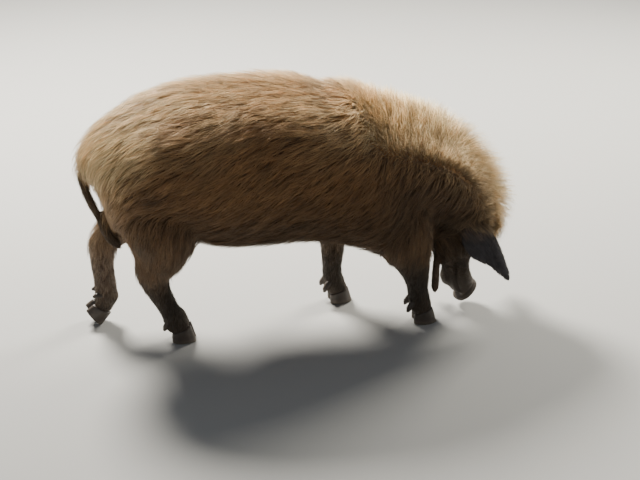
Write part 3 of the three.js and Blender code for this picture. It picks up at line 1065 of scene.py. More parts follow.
# %% [markdown]
# A hair is darker at its root, where its neighbours shade it, and paler at its tip. The
# group scales the coat's colour by that, and by a tone that differs from hair to hair.
# %% Root to tip
def make_hair_group():
    group, into, out = shader_group(
        "root_to_tip",
        [
            ("Colour", "NodeSocketColor", (0.4, 0.22, 0.1, 1)),
            ("Along", "NodeSocketFloat", 0.5),
            ("Tone", "NodeSocketFloat", 0.5),
            ("Root shade", "NodeSocketFloat", 0.42),
            ("Tip glow", "NodeSocketFloat", 1.3),
        ],
        [("Colour", "NodeSocketColor"), ("Rough", "NodeSocketFloat")],
    )
    ramp = group.nodes.new("ShaderNodeMapRange")
    group.links.new(into.outputs["Along"], ramp.inputs["Value"])
    group.links.new(into.outputs["Root shade"], ramp.inputs["To Min"])
    group.links.new(into.outputs["Tip glow"], ramp.inputs["To Max"])
    tone = add_math(group, "ADD", add_math(group, "MULTIPLY", into.outputs["Tone"], 0.6), 0.7)
    shade = add_math(group, "MULTIPLY", ramp.outputs["Result"], tone)
    scaled = group.nodes.new("ShaderNodeVectorMath")
    scaled.operation = "SCALE"
    group.links.new(into.outputs["Colour"], scaled.inputs[0])
    group.links.new(shade, scaled.inputs["Scale"])
    group.links.new(scaled.outputs["Vector"], out.inputs["Colour"])
    smooth = add_math(group, "MULTIPLY", into.outputs["Tone"], 0.2)
    group.links.new(add_math(group, "SUBTRACT", 0.66, smooth), out.inputs["Rough"])
    return group


HAIR = make_hair_group()
print("shader group:", HAIR.name)


# %% [markdown]
# Bare skin shows on the snout's disc, and a little of it between the hairs. It takes the
# marking of the coat above it, darkened as painted shade under the hairs and on the snout,
# so that no light skin shines through a dark coat.
# %% Skin and hair materials
HAIR_ROOT_SHADE = 0.55
HAIR_TIP_GLOW = 1.22


def add_group(tree, group, **values):
    node = tree.nodes.new("ShaderNodeGroup")
    node.node_tree = group
    for name, value in values.items():
        node.inputs[name.replace("_", " ")].default_value = value
    return node


def add_bump(tree, height, strength, distance):
    node = tree.nodes.new("ShaderNodeBump")
    node.inputs["Strength"].default_value = strength
    node.inputs["Distance"].default_value = distance
    tree.links.new(height, node.inputs["Height"])
    return node.outputs["Normal"]


def make_skin_material():
    material, _, links, shader = new_material("pig_skin")
    tree = material.node_tree
    colour = add_attribute(tree, "coat_colour").outputs["Color"]
    bare = add_attribute(tree, "bareness").outputs["Fac"]
    grain = add_group(tree, GRAIN, Scale=420.0, Pores=0.55)
    # Painted shade: the skin is darkened under the hairs and on the snout.
    shade = add_mix(tree, "MULTIPLY", 0.45, colour, (0.55, 0.45, 0.42, 1))
    mottled = add_mix(tree, "MULTIPLY", add_math(tree, "MULTIPLY", grain.outputs["Mask"], 0.7),
                      shade, (0.62, 0.50, 0.48, 1))
    links.new(mottled, shader.inputs["Base Color"])
    rough = add_math(tree, "SUBTRACT", 0.78, add_math(tree, "MULTIPLY", bare, 0.26))
    links.new(rough, shader.inputs["Roughness"])
    links.new(add_bump(tree, grain.outputs["Height"], 0.5, 0.0010), shader.inputs["Normal"])
    return material


def make_coat_material(name):
    material, _, links, shader = new_material(name)
    tree = material.node_tree
    hair = add_group(tree, HAIR, Root_shade=HAIR_ROOT_SHADE, Tip_glow=HAIR_TIP_GLOW)
    links.new(add_attribute(tree, "coat_colour").outputs["Color"], hair.inputs["Colour"])
    links.new(add_attribute(tree, "along").outputs["Fac"], hair.inputs["Along"])
    links.new(add_attribute(tree, "tone").outputs["Fac"], hair.inputs["Tone"])
    links.new(hair.outputs["Colour"], shader.inputs["Base Color"])
    links.new(hair.outputs["Rough"], shader.inputs["Roughness"])
    shader.inputs["Specular IOR Level"].default_value = 0.35
    shader.inputs["Sheen Weight"].default_value = 0.06
    shader.inputs["Sheen Roughness"].default_value = 0.45
    return material


SKIN_MATERIAL = make_skin_material()
COAT_MATERIAL = make_coat_material("pig_hair")
print("materials:", SKIN_MATERIAL.name, "and", COAT_MATERIAL.name)


# %% [markdown]
# The skin carries its colours as an attribute of its points. It rides the one body, and
# takes the place of all the solids of flesh at once.
# %% The skin as a piece
def set_float(mesh, name, values):
    mesh.attributes.new(name, "FLOAT", "POINT").data.foreach_set("value", values.ravel())


def set_colour(mesh, name, colours):
    full = np.concatenate([colours, np.ones((len(colours), 1))], axis=1)
    mesh.attributes.new(name, "FLOAT_COLOR", "POINT").data.foreach_set("color", full.ravel())


def add_piece(name, mesh, material, replaced=()):
    piece = bpy.data.objects.new(name, mesh)
    SCENE.collection.objects.link(piece)
    mesh.materials.append(material)
    mesh.shade_smooth()
    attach(piece, "root")
    if replaced:
        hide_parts(*replaced)
    return piece


def bareness_of(places, owner):
    down = -in_head(places)[:, 2]
    head = owned_by(owner, "head") * smooth_step(0.16, 0.215, down)
    return np.clip(head + 0.6 * owned_by(owner, "ear"), 0, 1)


skin_bare = spread(bareness_of(skin_place, skin_owner), skin_edges, 3)
set_colour(skin_mesh, "coat_colour", skin_colour)
set_float(skin_mesh, "bareness", skin_bare)
add_piece("skin", skin_mesh, SKIN_MATERIAL, FLESH)
print("skin piece:", len(triangles_of(skin_mesh)), "triangles")


# %% [markdown]
# ## The coat
# Each tuft is a thin three-sided spike that starts just under the skin, lies the way the
# hair grows and tapers to nothing. Its path is traced over the skin in a few steps, so
# that it follows the body's curve. Tufts that share a lock lean together towards its tip.
# %% An unwrap of the skin
def unwrap_of(places, owner):
    """Skin places as a flat map: one rectangle for each part, unrolled round its length."""
    centre_z = 0.395 - 0.30 * smooth_step(0.25, 0.55, places[:, 0])
    turn = np.arctan2(places[:, 1], places[:, 2] - centre_z) / (2 * math.pi) + 0.5
    length = np.clip((places[:, 0] + 0.42) / 0.98, 0, 1)
    flat = np.stack([0.01 + 0.98 * length, 0.30 + 0.68 * turn], axis=1)
    limbs = [name for name in FLESH if name not in ("trunk", "neck", "head")]
    width = 0.98 / len(limbs)
    for number, name in enumerate(limbs):
        own = owned_by(owner, name)
        part = places[own]
        if not len(part):
            continue
        low = part.min(axis=0)
        high = part.max(axis=0)
        middle = (low + high) / 2
        around = np.arctan2(part[:, 1] - middle[1], part[:, 0] - middle[0]) / (2 * math.pi) + 0.5
        if name.startswith("ear"):
            half = (part[:, 1] > middle[1]) * 0.5
            around = half + 0.5 * (part[:, 0] - low[0]) / (high[0] - low[0])
        up = (part[:, 2] - low[2]) / (high[2] - low[2])
        flat[own] = np.stack([0.01 + width * (number + 0.92 * around), 0.01 + 0.26 * up], axis=1)
    return flat


skin_flat = unwrap_of(points_of(skin_mesh) - MIDDLE, skin_owner)
skin_triangles = triangles_of(skin_mesh)
skin_points = points_of(skin_mesh)
skin_tree = BVHTree.FromPolygons(skin_points.tolist(), skin_triangles.tolist())
print("unwrap spans", skin_flat.min(axis=0).round(2), "to", skin_flat.max(axis=0).round(2))


# %% [markdown]
# Roots are scattered by area, so that no part of the skin is missed, and more thickly where
# the hairs are fine and short. None grow inside a hoof or in the slit of an eye.
# %% Where the tufts grow
TUFTS = 113000
SEED = 7
DENSITY = {
    "head": 4.0, "neck": 1.2, "trunk": 1.0, "tail": 3.0, "leg": 2.6, "ear": 4.0, "tassel": 4.0,
}
HORN_TOP = 0.09  # no hoof or dewclaw is higher than this
HORN_NEAR = 0.03
HORN_MARGIN = 0.0008
EAR_ROOT = np.array([0.452, 0.084, 0.244])  # the left ear's root


def inside_horn(points):
    """Which skin points lie inside a hoof or dewclaw."""
    inside = np.zeros(len(points), dtype=bool)
    trees = [BVHTree.FromObject(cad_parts[name], bpy.context.evaluated_depsgraph_get())
             for name in HORN]
    for index in np.flatnonzero(points[:, 2] < HORN_TOP):
        place = Vector(points[index])
        for tree in trees:
            spot, out, _, gap = tree.find_nearest(place)
            if gap < HORN_NEAR and (place - spot).dot(out) < HORN_MARGIN:
                inside[index] = True
                break
    return inside


def curl_amount(places, owner):
    """The woolly curls round the ear's root, and the brush at the end of the tail."""
    amount = np.zeros(len(places))
    for side in SIDES.values():
        gap = np.linalg.norm(places - EAR_ROOT * np.array([1, side, 1]), axis=1)
        amount = np.maximum(amount, smooth_step(0.050, 0.018, gap) * ~owned_by(owner, "ear"))
    brush = owned_by(owner, "tail") * smooth_step(0.300, 0.262, places[:, 2])
    return np.maximum(amount, 0.8 * brush)


skin_curl = curl_amount(skin_place, skin_owner)
print("skin points in curls:", int((skin_curl > 0.5).sum()))


# %% [markdown]
# Each triangle's share of the tufts is its area times the density there. Running through
# the shares in even steps spreads the roots more evenly than plain chance would.
# %% Scatter the roots
def tuft_density():
    weight = np.ones(len(skin_points))
    for part, value in DENSITY.items():
        weight[owned_by(skin_owner, part)] = value
    weight = weight * (1 + 2.0 * skin_mane)
    weight *= np.where(owned_by(skin_owner, "ear"), 1, 1 - 0.96 * skin_bare)
    weight *= (1 + 0.8 * skin_curl) * (1 + 1.2 * skin_parting)
    weight[inside_horn(skin_points)] = 0
    local = in_head(points_of(skin_mesh) - MIDDLE)
    for side in SIDES.values():
        centre = EYE_AT * np.array([1, side, 1])
        way = unit(local - centre)
        close = np.linalg.norm(local - centre, axis=1) < 0.022
        weight *= np.where(close, smooth_step(0.05, 0.22, slit_gap(way, side)), 1)
    return weight


def scattered(count, seed):
    """Random places on the skin's triangles: the triangle and three corner weights."""
    corners = skin_points[skin_triangles]
    side_a = corners[:, 1] - corners[:, 0]
    side_b = corners[:, 2] - corners[:, 0]
    area = np.linalg.norm(np.cross(side_a, side_b), axis=1)
    share = area * tuft_density()[skin_triangles].mean(axis=1)
    maker = np.random.default_rng(seed)
    steps = (np.arange(count) + maker.random(count)) / count
    chosen = np.searchsorted(np.cumsum(share) / share.sum(), steps).clip(0, len(share) - 1)
    first = maker.random(count)
    second = maker.random(count)
    over = first + second > 1
    first[over] = 1 - first[over]
    second[over] = 1 - second[over]
    return chosen, np.stack([1 - first - second, first, second], axis=1)


tuft_face, tuft_weight = scattered(TUFTS, SEED)


def at_roots(values):
    """Values of the skin's points, blended to each tuft's root."""
    table = values[skin_triangles[tuft_face]]
    if table.ndim == 2:
        return (table * tuft_weight).sum(axis=1)
    return (table * tuft_weight[:, :, None]).sum(axis=1)


root = at_roots(skin_points)
root_owner = skin_owner[skin_triangles[tuft_face, 0]]
print("roots:", len(root), {part: int(owned_by(root_owner, part).sum()) for part in DENSITY})


# %% [markdown]
# A pig's hair gathers in small locks. One hair in each little cube of space leads its
# lock. The others share its lean, tone and length, with small changes of their own.
# %% Locks
LOCK_SPACING = 0.013
CELL_MIX = np.array([73856093, 19349663, 83492791])  # primes, so that no two cells agree


def lock_leaders(points, spacing, seed):
    """Picks leaders at about a spacing, and the leader that each tuft follows."""
    cell = np.floor(points / spacing).astype(np.int64)
    key = (cell * CELL_MIX).sum(axis=1)
    order = np.random.default_rng(seed).permutation(len(points))
    _, first = np.unique(key[order], return_index=True)
    leaders = order[first]
    tree = KDTree(len(leaders))
    for index, leader in enumerate(leaders):
        tree.insert(Vector(points[leader]), index)
    tree.balance()
    followed = np.array([tree.find(Vector(point))[1] for point in points])
    return leaders, followed


leaders, followed = lock_leaders(root, LOCK_SPACING, SEED)
print("locks:", len(leaders))


# %% [markdown]
# To reach the same height, a hair that lies flat must be longer than one that stands. So
# its length comes from the coat's depth and its own lean, then varies by lock and by hair.
# %% Each tuft's own length, width and lean
DROOP = 0.45
SHORTEST, LONGEST = 0.0055, 0.095
CURL_LENGTH = 0.026
THINNEST, THICKEST = 0.00035, 0.00105  # half the width of a tuft


def lock_value(seed, low, high):
    """One random value for each lock, drawn from a seed of its own and given to its tufts."""
    maker = np.random.default_rng(seed)
    return maker.uniform(low, high, len(leaders))[followed]


def own_value(seed, low, high):
    return np.random.default_rng(seed).uniform(low, high, TUFTS)


root_mane = at_roots(skin_mane)
root_depth = at_roots(skin_depth)
root_stand = at_roots(skin_stand)
root_stand = root_stand * lock_value(21, 0.90, 1.12) * own_value(22, 0.80, 1.12)
root_droop = DROOP * (1 - 0.75 * root_mane)
root_length = root_depth / (np.sin(root_stand) * (1 - root_droop))
root_length *= 1.05 + 0.13 * root_mane
root_length *= lock_value(23, 0.88, 1.08) * (1 - own_value(24, -0.06, 0.34) * (1 + 0.4 * root_mane))
root_curl = at_roots(skin_curl)
root_length = np.clip(root_length, SHORTEST, LONGEST)
short_hair = own_value(26, 0.007, 0.013)
root_length = np.where(owned_by(root_owner, "tassel"), short_hair, root_length)
root_length = np.where(owned_by(root_owner, "ear"), 1.5 * short_hair, root_length)
root_length = np.where(owned_by(root_owner, "tail"), own_value(27, 0.014, 0.030), root_length)
root_length += (CURL_LENGTH - root_length) * root_curl * (root_mane < 0.2)
root_width = np.clip(THINNEST + 0.013 * root_length, THINNEST, THICKEST) * own_value(25, 0.7, 1.2)
root_width = root_width * (1 - 0.30 * root_mane)
print("lengths in mm:", (np.percentile(root_length, [1, 25, 50, 75, 99]) * 1000).round(1))


# %% [markdown]
# A straight spike would leave a round belly or cut into it. Each hair takes a few short
# steps along the lie, and after each step it drops back on to the skin.
# %% Tracing the tufts over the skin
STEPS = 3


def look_up(points):
    """For each point, the nearest point on the skin and the triangle that it is on."""
    spot = np.empty_like(points)
    face = np.empty(len(points), dtype=int)
    for index, point in enumerate(points):
        found = skin_tree.find_nearest(Vector(point))
        spot[index] = found[0]
        face[index] = found[2]
    return spot, face


def turned(ways, axes, angles):
    cosine = np.cos(angles)[:, None]
    sine = np.sin(angles)[:, None]
    return ways * cosine + np.cross(axes, ways) * sine


def trace_paths():
    lean = lock_value(31, -0.20, 0.20) + own_value(32, -0.13, 0.13)
    astray = at_roots(skin_parting)
    lean = lean * (1 + 0.5 * root_mane) + astray * own_value(33, -1.1, 1.1)
    spot = root
    face = tuft_face
    spots = [root]
    outs = []
    for step in range(STEPS + 1):
        out = unit(skin_calm[skin_triangles[face]].mean(axis=1))
        way = skin_lie[skin_triangles[face]].mean(axis=1)
        way = way - out * (way * out).sum(axis=1, keepdims=True)
        way = turned(unit(way), out, lean)
        outs.append(out)
        if step == 0:
            first_way = way
        if step == STEPS:
            break
        reach = root_length * np.cos(root_stand) / STEPS
        spot, face = look_up(spot + way * reach[:, None])
        spots.append(spot)
    return np.stack(spots, axis=1), np.stack(outs, axis=1), first_way


paths, outs, first_way = trace_paths()
print("paths traced:", paths.shape)


# %% [markdown]
# A traced path lies on the skin. Each hair is then lifted off it, steepest at the root, and
# given a slow wave. The hairs of one lock close in on their leader towards the tip.
# %% Bending the hairs
ROOT_DEPTH = 0.0010  # the roots start this far under the skin
CLUMP = 0.24
CLUMP_REACH = 0.05
WAVE = 0.035
CURL = 0.16


def lifted_hairs():
    t = np.linspace(0, 1, STEPS + 1)[None, :, None]
    jitter = np.random.default_rng(51).normal(size=(len(leaders), 3))[followed]
    jitter += 0.6 * np.random.default_rng(52).normal(size=(TUFTS, 3))
    ways = unit(outs + jitter[:, None, :] * (0.05 + 0.04 * root_mane)[:, None, None])
    height = (root_length * np.sin(root_stand))[:, None, None]
    rise = height * (t - root_droop[:, None, None] * t**2)
    across = np.cross(outs, first_way[:, None, :])
    phase = (lock_value(53, 0, 6.28) + own_value(54, -0.6, 0.6))[:, None, None]
    swing = (root_length * (WAVE + CURL * root_curl))[:, None, None]
    turns = (4.5 + 4.0 * root_curl)[:, None, None]
    wave = swing * (np.sin(turns * t + phase) - np.sin(phase))
    hairs = paths + ways * (rise - ROOT_DEPTH * (1 - t)) + across * wave
    hairs += ways * swing * 0.7 * (np.cos(turns * t + phase) - np.cos(phase)) * t
    pull = (CLUMP * (1 - 0.45 * root_mane))[:, None, None] * t**1.6
    together = hairs[leaders][followed] - hairs
    gap = np.linalg.norm(together[:, -1], axis=1)[:, None, None]
    return hairs + together * pull * (gap < CLUMP_REACH)


hairs = lifted_hairs()
print("hair tips reach", (hairs[:, -1].max(axis=0) - MIDDLE).round(3))


# %% [markdown]
# Every tuft keeps a small patch of the skin's unwrap, at its root, so that anything baked
# on to the skin colours the tuft as well. The map is called OFBake. Where a triangle of
# skin lies across a seam of the unwrap, the patch goes to one of its corners.
# %% Root values
PATCH = 0.0030
SEAM_SPAN = 0.05
CURL_COLOUR = np.array([0.40, 0.29, 0.17])


def root_patches():
    corners = skin_flat[skin_triangles[tuft_face]]
    span = np.ptp(corners, axis=1).max(axis=1)
    blended = (corners * tuft_weight[:, :, None]).sum(axis=1)
    return np.where((span < SEAM_SPAN)[:, None], blended, corners[:, 0])


def tone_colours():
    """Each lock is a little lighter or darker than the skin under it, and each hair too."""
    colour = at_roots(skin_colour)
    light = lock_value(61, -0.16, 0.20) + own_value(62, -0.10, 0.10)
    warm = lock_value(63, -0.04, 0.04)[:, None] * np.array([1.0, 0.0, -1.0])
    colour = colour * (1 + light[:, None] + warm)
    grey = colour.mean(axis=1, keepdims=True)
    pale = root_curl[:, None] * owned_by(root_owner, "head", "neck")[:, None]
    colour = colour + (CURL_COLOUR - colour) * pale * 0.55
    return np.clip(colour * 0.92 + grey * 0.08, 0.005, 0.95)


def tip_pale_and_sunlit():
    """How much cream a hair's tip has: partly its own, partly painted highlight; most on mane and
    rump.
    """
    light = at_roots(skin_colour).mean(axis=1)
    rear = smooth_step(0.05, -0.28, root[:, 0] - MIDDLE[0])
    pale = (0.30 + 0.40 * rear) * smooth_step(0.20, 0.52, light) + 0.42 * root_mane
    return np.clip(pale * lock_value(66, 0.6, 1.3), 0, 0.85)


root_pale_and_sunlit = tip_pale_and_sunlit()
root_flat = root_patches()
root_colour = tone_colours()
root_tone = np.clip(lock_value(64, 0.1, 0.9) + own_value(65, -0.2, 0.2), 0, 1)
print("palest tip:", round(float(root_pale_and_sunlit.max()), 2))


# %% [markdown]
# A tuft is three-sided, the fewest sides that catch light from anywhere, and has two or
# three segments. All the tufts of a piece are written together, as arrays, because adding
# them one by one would take many minutes.
# %% Tuft shapes
FLATNESS = 0.45  # a tuft's thickness, as a share of its width


def tuft_faces(segments):
    faces = [(0, 2, 1)]
    for ring in range(segments - 1):
        for corner in range(3):
            a = ring * 3 + corner
            b = ring * 3 + (corner + 1) % 3
            faces += [(a, b, b + 3), (a, b + 3, a + 3)]
    last = (segments - 1) * 3
    for corner in range(3):
        faces.append((last + corner, last + (corner + 1) % 3, last + 3))
    return np.array(faces)


def along_path(chosen, fraction):
    spot = fraction * STEPS
    low = min(int(spot), STEPS - 1)
    share = spot - low
    return hairs[chosen, low] * (1 - share) + hairs[chosen, low + 1] * share


def tuft_rings(chosen, segments):
    """Points of many tufts at once, and each point's share of the way to the tip."""
    fractions = np.arange(segments) / segments
    points = []
    for fraction in fractions:
        here = along_path(chosen, fraction)
        ahead = along_path(chosen, min(fraction + 0.5 / segments, 1))
        behind = along_path(chosen, max(fraction - 0.5 / segments, 0))
        way = unit(ahead - behind)
        side = unit(np.cross(way, outs[chosen, 0]))
        up = np.cross(side, way)
        half = (root_width[chosen] * (0.55 + 0.45 * (1 - fraction)) * (1 - fraction**2.2))[:, None]
        points += [here + up * half * FLATNESS, here + side * half, here - side * half]
    points.append(along_path(chosen, 1.0))
    along = np.append(np.repeat(fractions, 3), 1.0)
    return np.stack(points, axis=1), along


print("a tuft has", len(tuft_faces(2)), "or", len(tuft_faces(3)), "triangles")


# %% [markdown]
# Every point of a tuft knows its share of the way to the tip, its lock's tone and its
# colour, which pales towards the tip. The material reads all three from the mesh.
# %% Meshes of tufts
def tuft_mesh(name, groups):
    """One mesh from groups of tufts, each with its own number of segments."""
    points, faces, along, colour, tone, flat = [], [], [], [], [], []
    first = 0
    for segments, chosen in groups:
        if not len(chosen):
            continue
        block, share = tuft_rings(chosen, segments)
        size = block.shape[1]
        shape = tuft_faces(segments)
        starts = first + np.arange(len(chosen)) * size
        faces.append((starts[:, None, None] + shape[None]).reshape(-1, 3))
        points.append(block.reshape(-1, 3))
        along.append(np.tile(share, len(chosen)))
        # Tips pale towards cream: partly their own colour, partly painted highlight.
        pale = (root_pale_and_sunlit[chosen, None] * share**1.5)[:, :, None]
        hue = root_colour[chosen, None] * (1 - pale) + CREAM * pale
        colour.append(hue.reshape(-1, 3))
        tone.append(np.repeat(root_tone[chosen], size))
        corner = np.append(np.tile([0, -0.5, 0.5], segments), 0)
        rise = share - 0.5 - 0.12 * (corner == 0) * (share < 1)
        patch = np.stack([corner, rise], axis=1) * PATCH
        flat.append((root_flat[chosen][:, None] + patch[None]).reshape(-1, 2))
        first += len(chosen) * size
    return triangle_mesh(name, points, faces, along, colour, tone, flat)


def triangle_mesh(name, points, faces, along, colour, tone, flat):
    points = np.concatenate(points)
    faces = np.concatenate(faces)
    mesh = bpy.data.meshes.new(name)
    mesh.vertices.add(len(points))
    mesh.vertices.foreach_set("co", points.ravel())
    mesh.loops.add(len(faces) * 3)
    mesh.loops.foreach_set("vertex_index", faces.ravel().astype(np.int32))
    mesh.polygons.add(len(faces))
    mesh.polygons.foreach_set("loop_start", np.arange(len(faces), dtype=np.int32) * 3)
    mesh.update(calc_edges=True)
    set_float(mesh, "along", np.concatenate(along))
    set_float(mesh, "tone", np.concatenate(tone))
    set_colour(mesh, "coat_colour", np.concatenate(colour))
    bake = mesh.uv_layers.new(name="OFBake")
    bake.data.foreach_set("uv", np.concatenate(flat)[faces.ravel()].ravel())
    return mesh


print("a patch of the unwrap is", PATCH, "across")


# %% [markdown]
# The coat is cut across the body into pieces, in the order of the roots from rump to snout,
# so that each piece stays small enough to handle. Only long tufts get a third segment.
# %% The coat's pieces
MOST_TRIANGLES = 170000
LONG_TUFT = 0.046
SEGMENTS = np.where(root_length < LONG_TUFT, 2, 3)


def coat_pieces():
    cost = 6 * SEGMENTS - 2
    order = np.argsort(root[:, 0])
    piece_of = np.empty(TUFTS, dtype=int)
    piece_of[order] = np.cumsum(cost[order]) // MOST_TRIANGLES
    total = 0
    for number in range(piece_of.max() + 1):
        groups = [(n, np.flatnonzero((piece_of == number) & (SEGMENTS == n))) for n in (2, 3)]
        mesh = tuft_mesh(f"coat_{number + 1}", groups)
        add_piece(f"coat_{number + 1}", mesh, COAT_MATERIAL)
        total += len(mesh.polygons)
    return piece_of.max() + 1, total


pieces, coat_total = coat_pieces()
print("coat:", pieces, "pieces,", coat_total, "triangles")


# %% [markdown]
# ## Eyes and hooves
# The eyeball swells a little where the cornea is, and its iris is coloured by how far each
# point is from the way the eye looks. A pig's iris is dark brown and fills the open lids.
# %% Eyeballs
CORNEA = 0.0011  # how far it stands off the ball
BALL_INSET = 0.0004


def make_eye_material():
    material, nodes, links, shader = new_material("pig_eye")
    tree = material.node_tree
    ramp = nodes.new("ShaderNodeValToRGB")
    stops = [(0.0, (0.004, 0.004, 0.005, 1)), (0.19, (0.004, 0.004, 0.005, 1)),
             (0.22, (0.060, 0.026, 0.010, 1)), (0.42, (0.035, 0.014, 0.006, 1)),
             (0.47, (0.008, 0.005, 0.004, 1)), (0.56, (0.07, 0.05, 0.042, 1))]
    while len(ramp.color_ramp.elements) < len(stops):
        ramp.color_ramp.elements.new(0.5)
    for element, (place, colour) in zip(ramp.color_ramp.elements, stops):
        element.position = place
        element.color = colour
    links.new(add_attribute(tree, "from_gaze").outputs["Fac"], ramp.inputs["Fac"])
    links.new(ramp.outputs["Color"], shader.inputs["Base Color"])
    shader.inputs["Roughness"].default_value = 0.12
    shader.inputs["Coat Weight"].default_value = 1.0
    shader.inputs["Coat Roughness"].default_value = 0.03
    return material


def make_eye(name, side, material):
    work = bmesh.new()
    bmesh.ops.create_icosphere(work, subdivisions=5, radius=1.0)
    mesh = bpy.data.meshes.new(name)
    work.to_mesh(mesh)
    work.free()
    ways = unit(points_of(mesh))
    gaze, _, _ = eye_axes(side)
    angle = np.arccos(np.clip(ways @ gaze, -1, 1))
    radius = EYE_RADIUS - BALL_INSET + CORNEA * smooth_step(0.72, 0.25, angle)
    put_points(mesh, from_head(ways * radius[:, None] + EYE_AT * np.array([1, side, 1])) + MIDDLE)
    set_float(mesh, "from_gaze", angle / math.pi * 2)
    return add_piece(name, mesh, material, [name])


EYE_MATERIAL = make_eye_material()
for word, side in SIDES.items():
    make_eye(f"eye_{word}", side, EYE_MATERIAL)


# %% [markdown]
# Each hoof is a merged copy of its solid, rounded by a fine remesh. Growth rings run round
# its wall, level with the coronet, and its edge at the ground is worn.
# %% Hooves and dewclaws
HOOF_VOXEL = 0.0015
HOOF_ROUNDS, DEWCLAW_ROUNDS = 14, 6
RING_SPACING = 0.0048
RING_HEIGHT = 0.00010
HORN_INSET = 0.0006  # takes back part of the swelling


def make_horn_material():
    material, nodes, links, shader = new_material("pig_hoof")
    tree = material.node_tree
    place = add_object_place(tree)
    mark = add_noise(tree, place, 60.0)
    shade = add_mix(tree, "MIX", mark, (0.022, 0.017, 0.014, 1), (0.085, 0.062, 0.045, 1))
    worn = nodes.new("ShaderNodeMapRange")
    for label, value in (("From Max", 0.014), ("To Min", 0.75), ("To Max", 0.0)):
        worn.inputs[label].default_value = value
    height = nodes.new("ShaderNodeSeparateXYZ")
    links.new(place, height.inputs["Vector"])
    links.new(height.outputs["Z"], worn.inputs["Value"])
    colour = add_mix(tree, "MIX", worn.outputs["Result"], shade, (0.17, 0.14, 0.105, 1))
    links.new(colour, shader.inputs["Base Color"])
    grain = add_group(tree, GRAIN, Scale=700.0, Pores=0.3)
    links.new(add_bump(tree, grain.outputs["Height"], 0.35, 0.0006), shader.inputs["Normal"])
    shader.inputs["Roughness"].default_value = 0.48
    return material


def rounded_copy(name):
    mesh = swollen(name)
    points = [vertex.co.copy() for vertex in mesh.verts]
    faces = [[vertex.index for vertex in face.verts] for face in mesh.faces]
    mesh.free()
    return remeshed(points, faces, HOOF_VOXEL)


def make_horn(name):
    mesh = rounded_copy(name)
    points = points_of(mesh)
    edges = edges_of(mesh)
    floor_level = points[:, 2].min()
    points = spread(points, edges, HOOF_ROUNDS if "hoof" in name else DEWCLAW_ROUNDS, 0.5)
    put_points(mesh, points)
    out = normals_of(mesh)
    wall = 1 - np.abs(out[:, 2]) ** 2
    rings = np.cos(2 * math.pi * (points[:, 2] + 0.30 * points[:, 0]) / RING_SPACING)
    points = points + out * (RING_HEIGHT * rings * wall - HORN_INSET)[:, None]
    points[:, 2] = np.maximum(points[:, 2], max(floor_level + SWELL, 0.0))
    put_points(mesh, points)
    return add_piece(name, mesh, HORN_MATERIAL, [name])


HORN_MATERIAL = make_horn_material()
horn_total = sum(len(make_horn(name).data.polygons) for name in HORN)
print("horn:", len(HORN), "pieces,", horn_total, "faces")


# %% [markdown]
# ## Lashes and bristles
# A few stiff hairs stand on the lids, lips and chin. Geometry Nodes grows them: every point
# of a small guide mesh carries its own way and length, and gets one curved bristle.
# %% A bristle grower
BRISTLE_RINGS, BRISTLE_SIDES = 5, 4
BRISTLE_TIP = 0.12  # the tip's width, as a share of the root's


def bristle_group():
    group = bpy.data.node_groups.new("grow_bristles", "GeometryNodeTree")
    for label, kind, value in (("Geometry", "NodeSocketGeometry", None),
                               ("Length", "NodeSocketFloat", 1.0),
                               ("Thickness", "NodeSocketFloat", 0.00022),
                               ("Bend", "NodeSocketFloat", 0.25),
                               ("Seed", "NodeSocketInt", 3),
                               ("Material", "NodeSocketMaterial", None)):
        socket = group.interface.new_socket(label, in_out="INPUT", socket_type=kind)
        if value is not None:
            socket.default_value = value
    group.interface.new_socket("Geometry", in_out="OUTPUT", socket_type="NodeSocketGeometry")
    return group, group.nodes.new("NodeGroupInput"), group.nodes.new("NodeGroupOutput")


def make_bristle_nodes():
    group, into, out = bristle_group()
    new = group.nodes.new
    link = group.links.new
    line = new("GeometryNodeCurvePrimitiveLine")
    fine = new("GeometryNodeResampleCurve")
    fine.inputs["Count"].default_value = BRISTLE_RINGS
    share = new("GeometryNodeSplineParameter")
    square = new("ShaderNodeMath")
    square.operation = "POWER"
    square.inputs[1].default_value = 2.0
    bend = new("ShaderNodeMath")
    bend.operation = "MULTIPLY"
    shift = new("ShaderNodeCombineXYZ")
    move = new("GeometryNodeSetPosition")
    taper = new("ShaderNodeMapRange")
    taper.inputs["To Min"].default_value = 1.0
    taper.inputs["To Max"].default_value = BRISTLE_TIP
    section = new("GeometryNodeCurvePrimitiveCircle")
    section.inputs["Resolution"].default_value = BRISTLE_SIDES
    tube = new("GeometryNodeCurveToMesh")
    tube.inputs["Fill Caps"].default_value = True
    link(line.outputs["Curve"], fine.inputs["Curve"])
    link(share.outputs["Factor"], square.inputs[0])
    link(square.outputs[0], bend.inputs[0])
    link(into.outputs["Bend"], bend.inputs[1])
    link(bend.outputs[0], shift.inputs["X"])
    link(fine.outputs["Curve"], move.inputs["Geometry"])
    link(shift.outputs["Vector"], move.inputs["Offset"])
    link(share.outputs["Factor"], taper.inputs["Value"])
    link(into.outputs["Thickness"], section.inputs["Radius"])
    link(move.outputs["Geometry"], tube.inputs["Curve"])
    link(section.outputs["Curve"], tube.inputs["Profile Curve"])
    link(taper.outputs["Result"], tube.inputs["Scale"])
    plant_bristles(group, into, out, tube.outputs["Mesh"])
    return group


print("a bristle has", BRISTLE_RINGS, "rings of", BRISTLE_SIDES, "points")


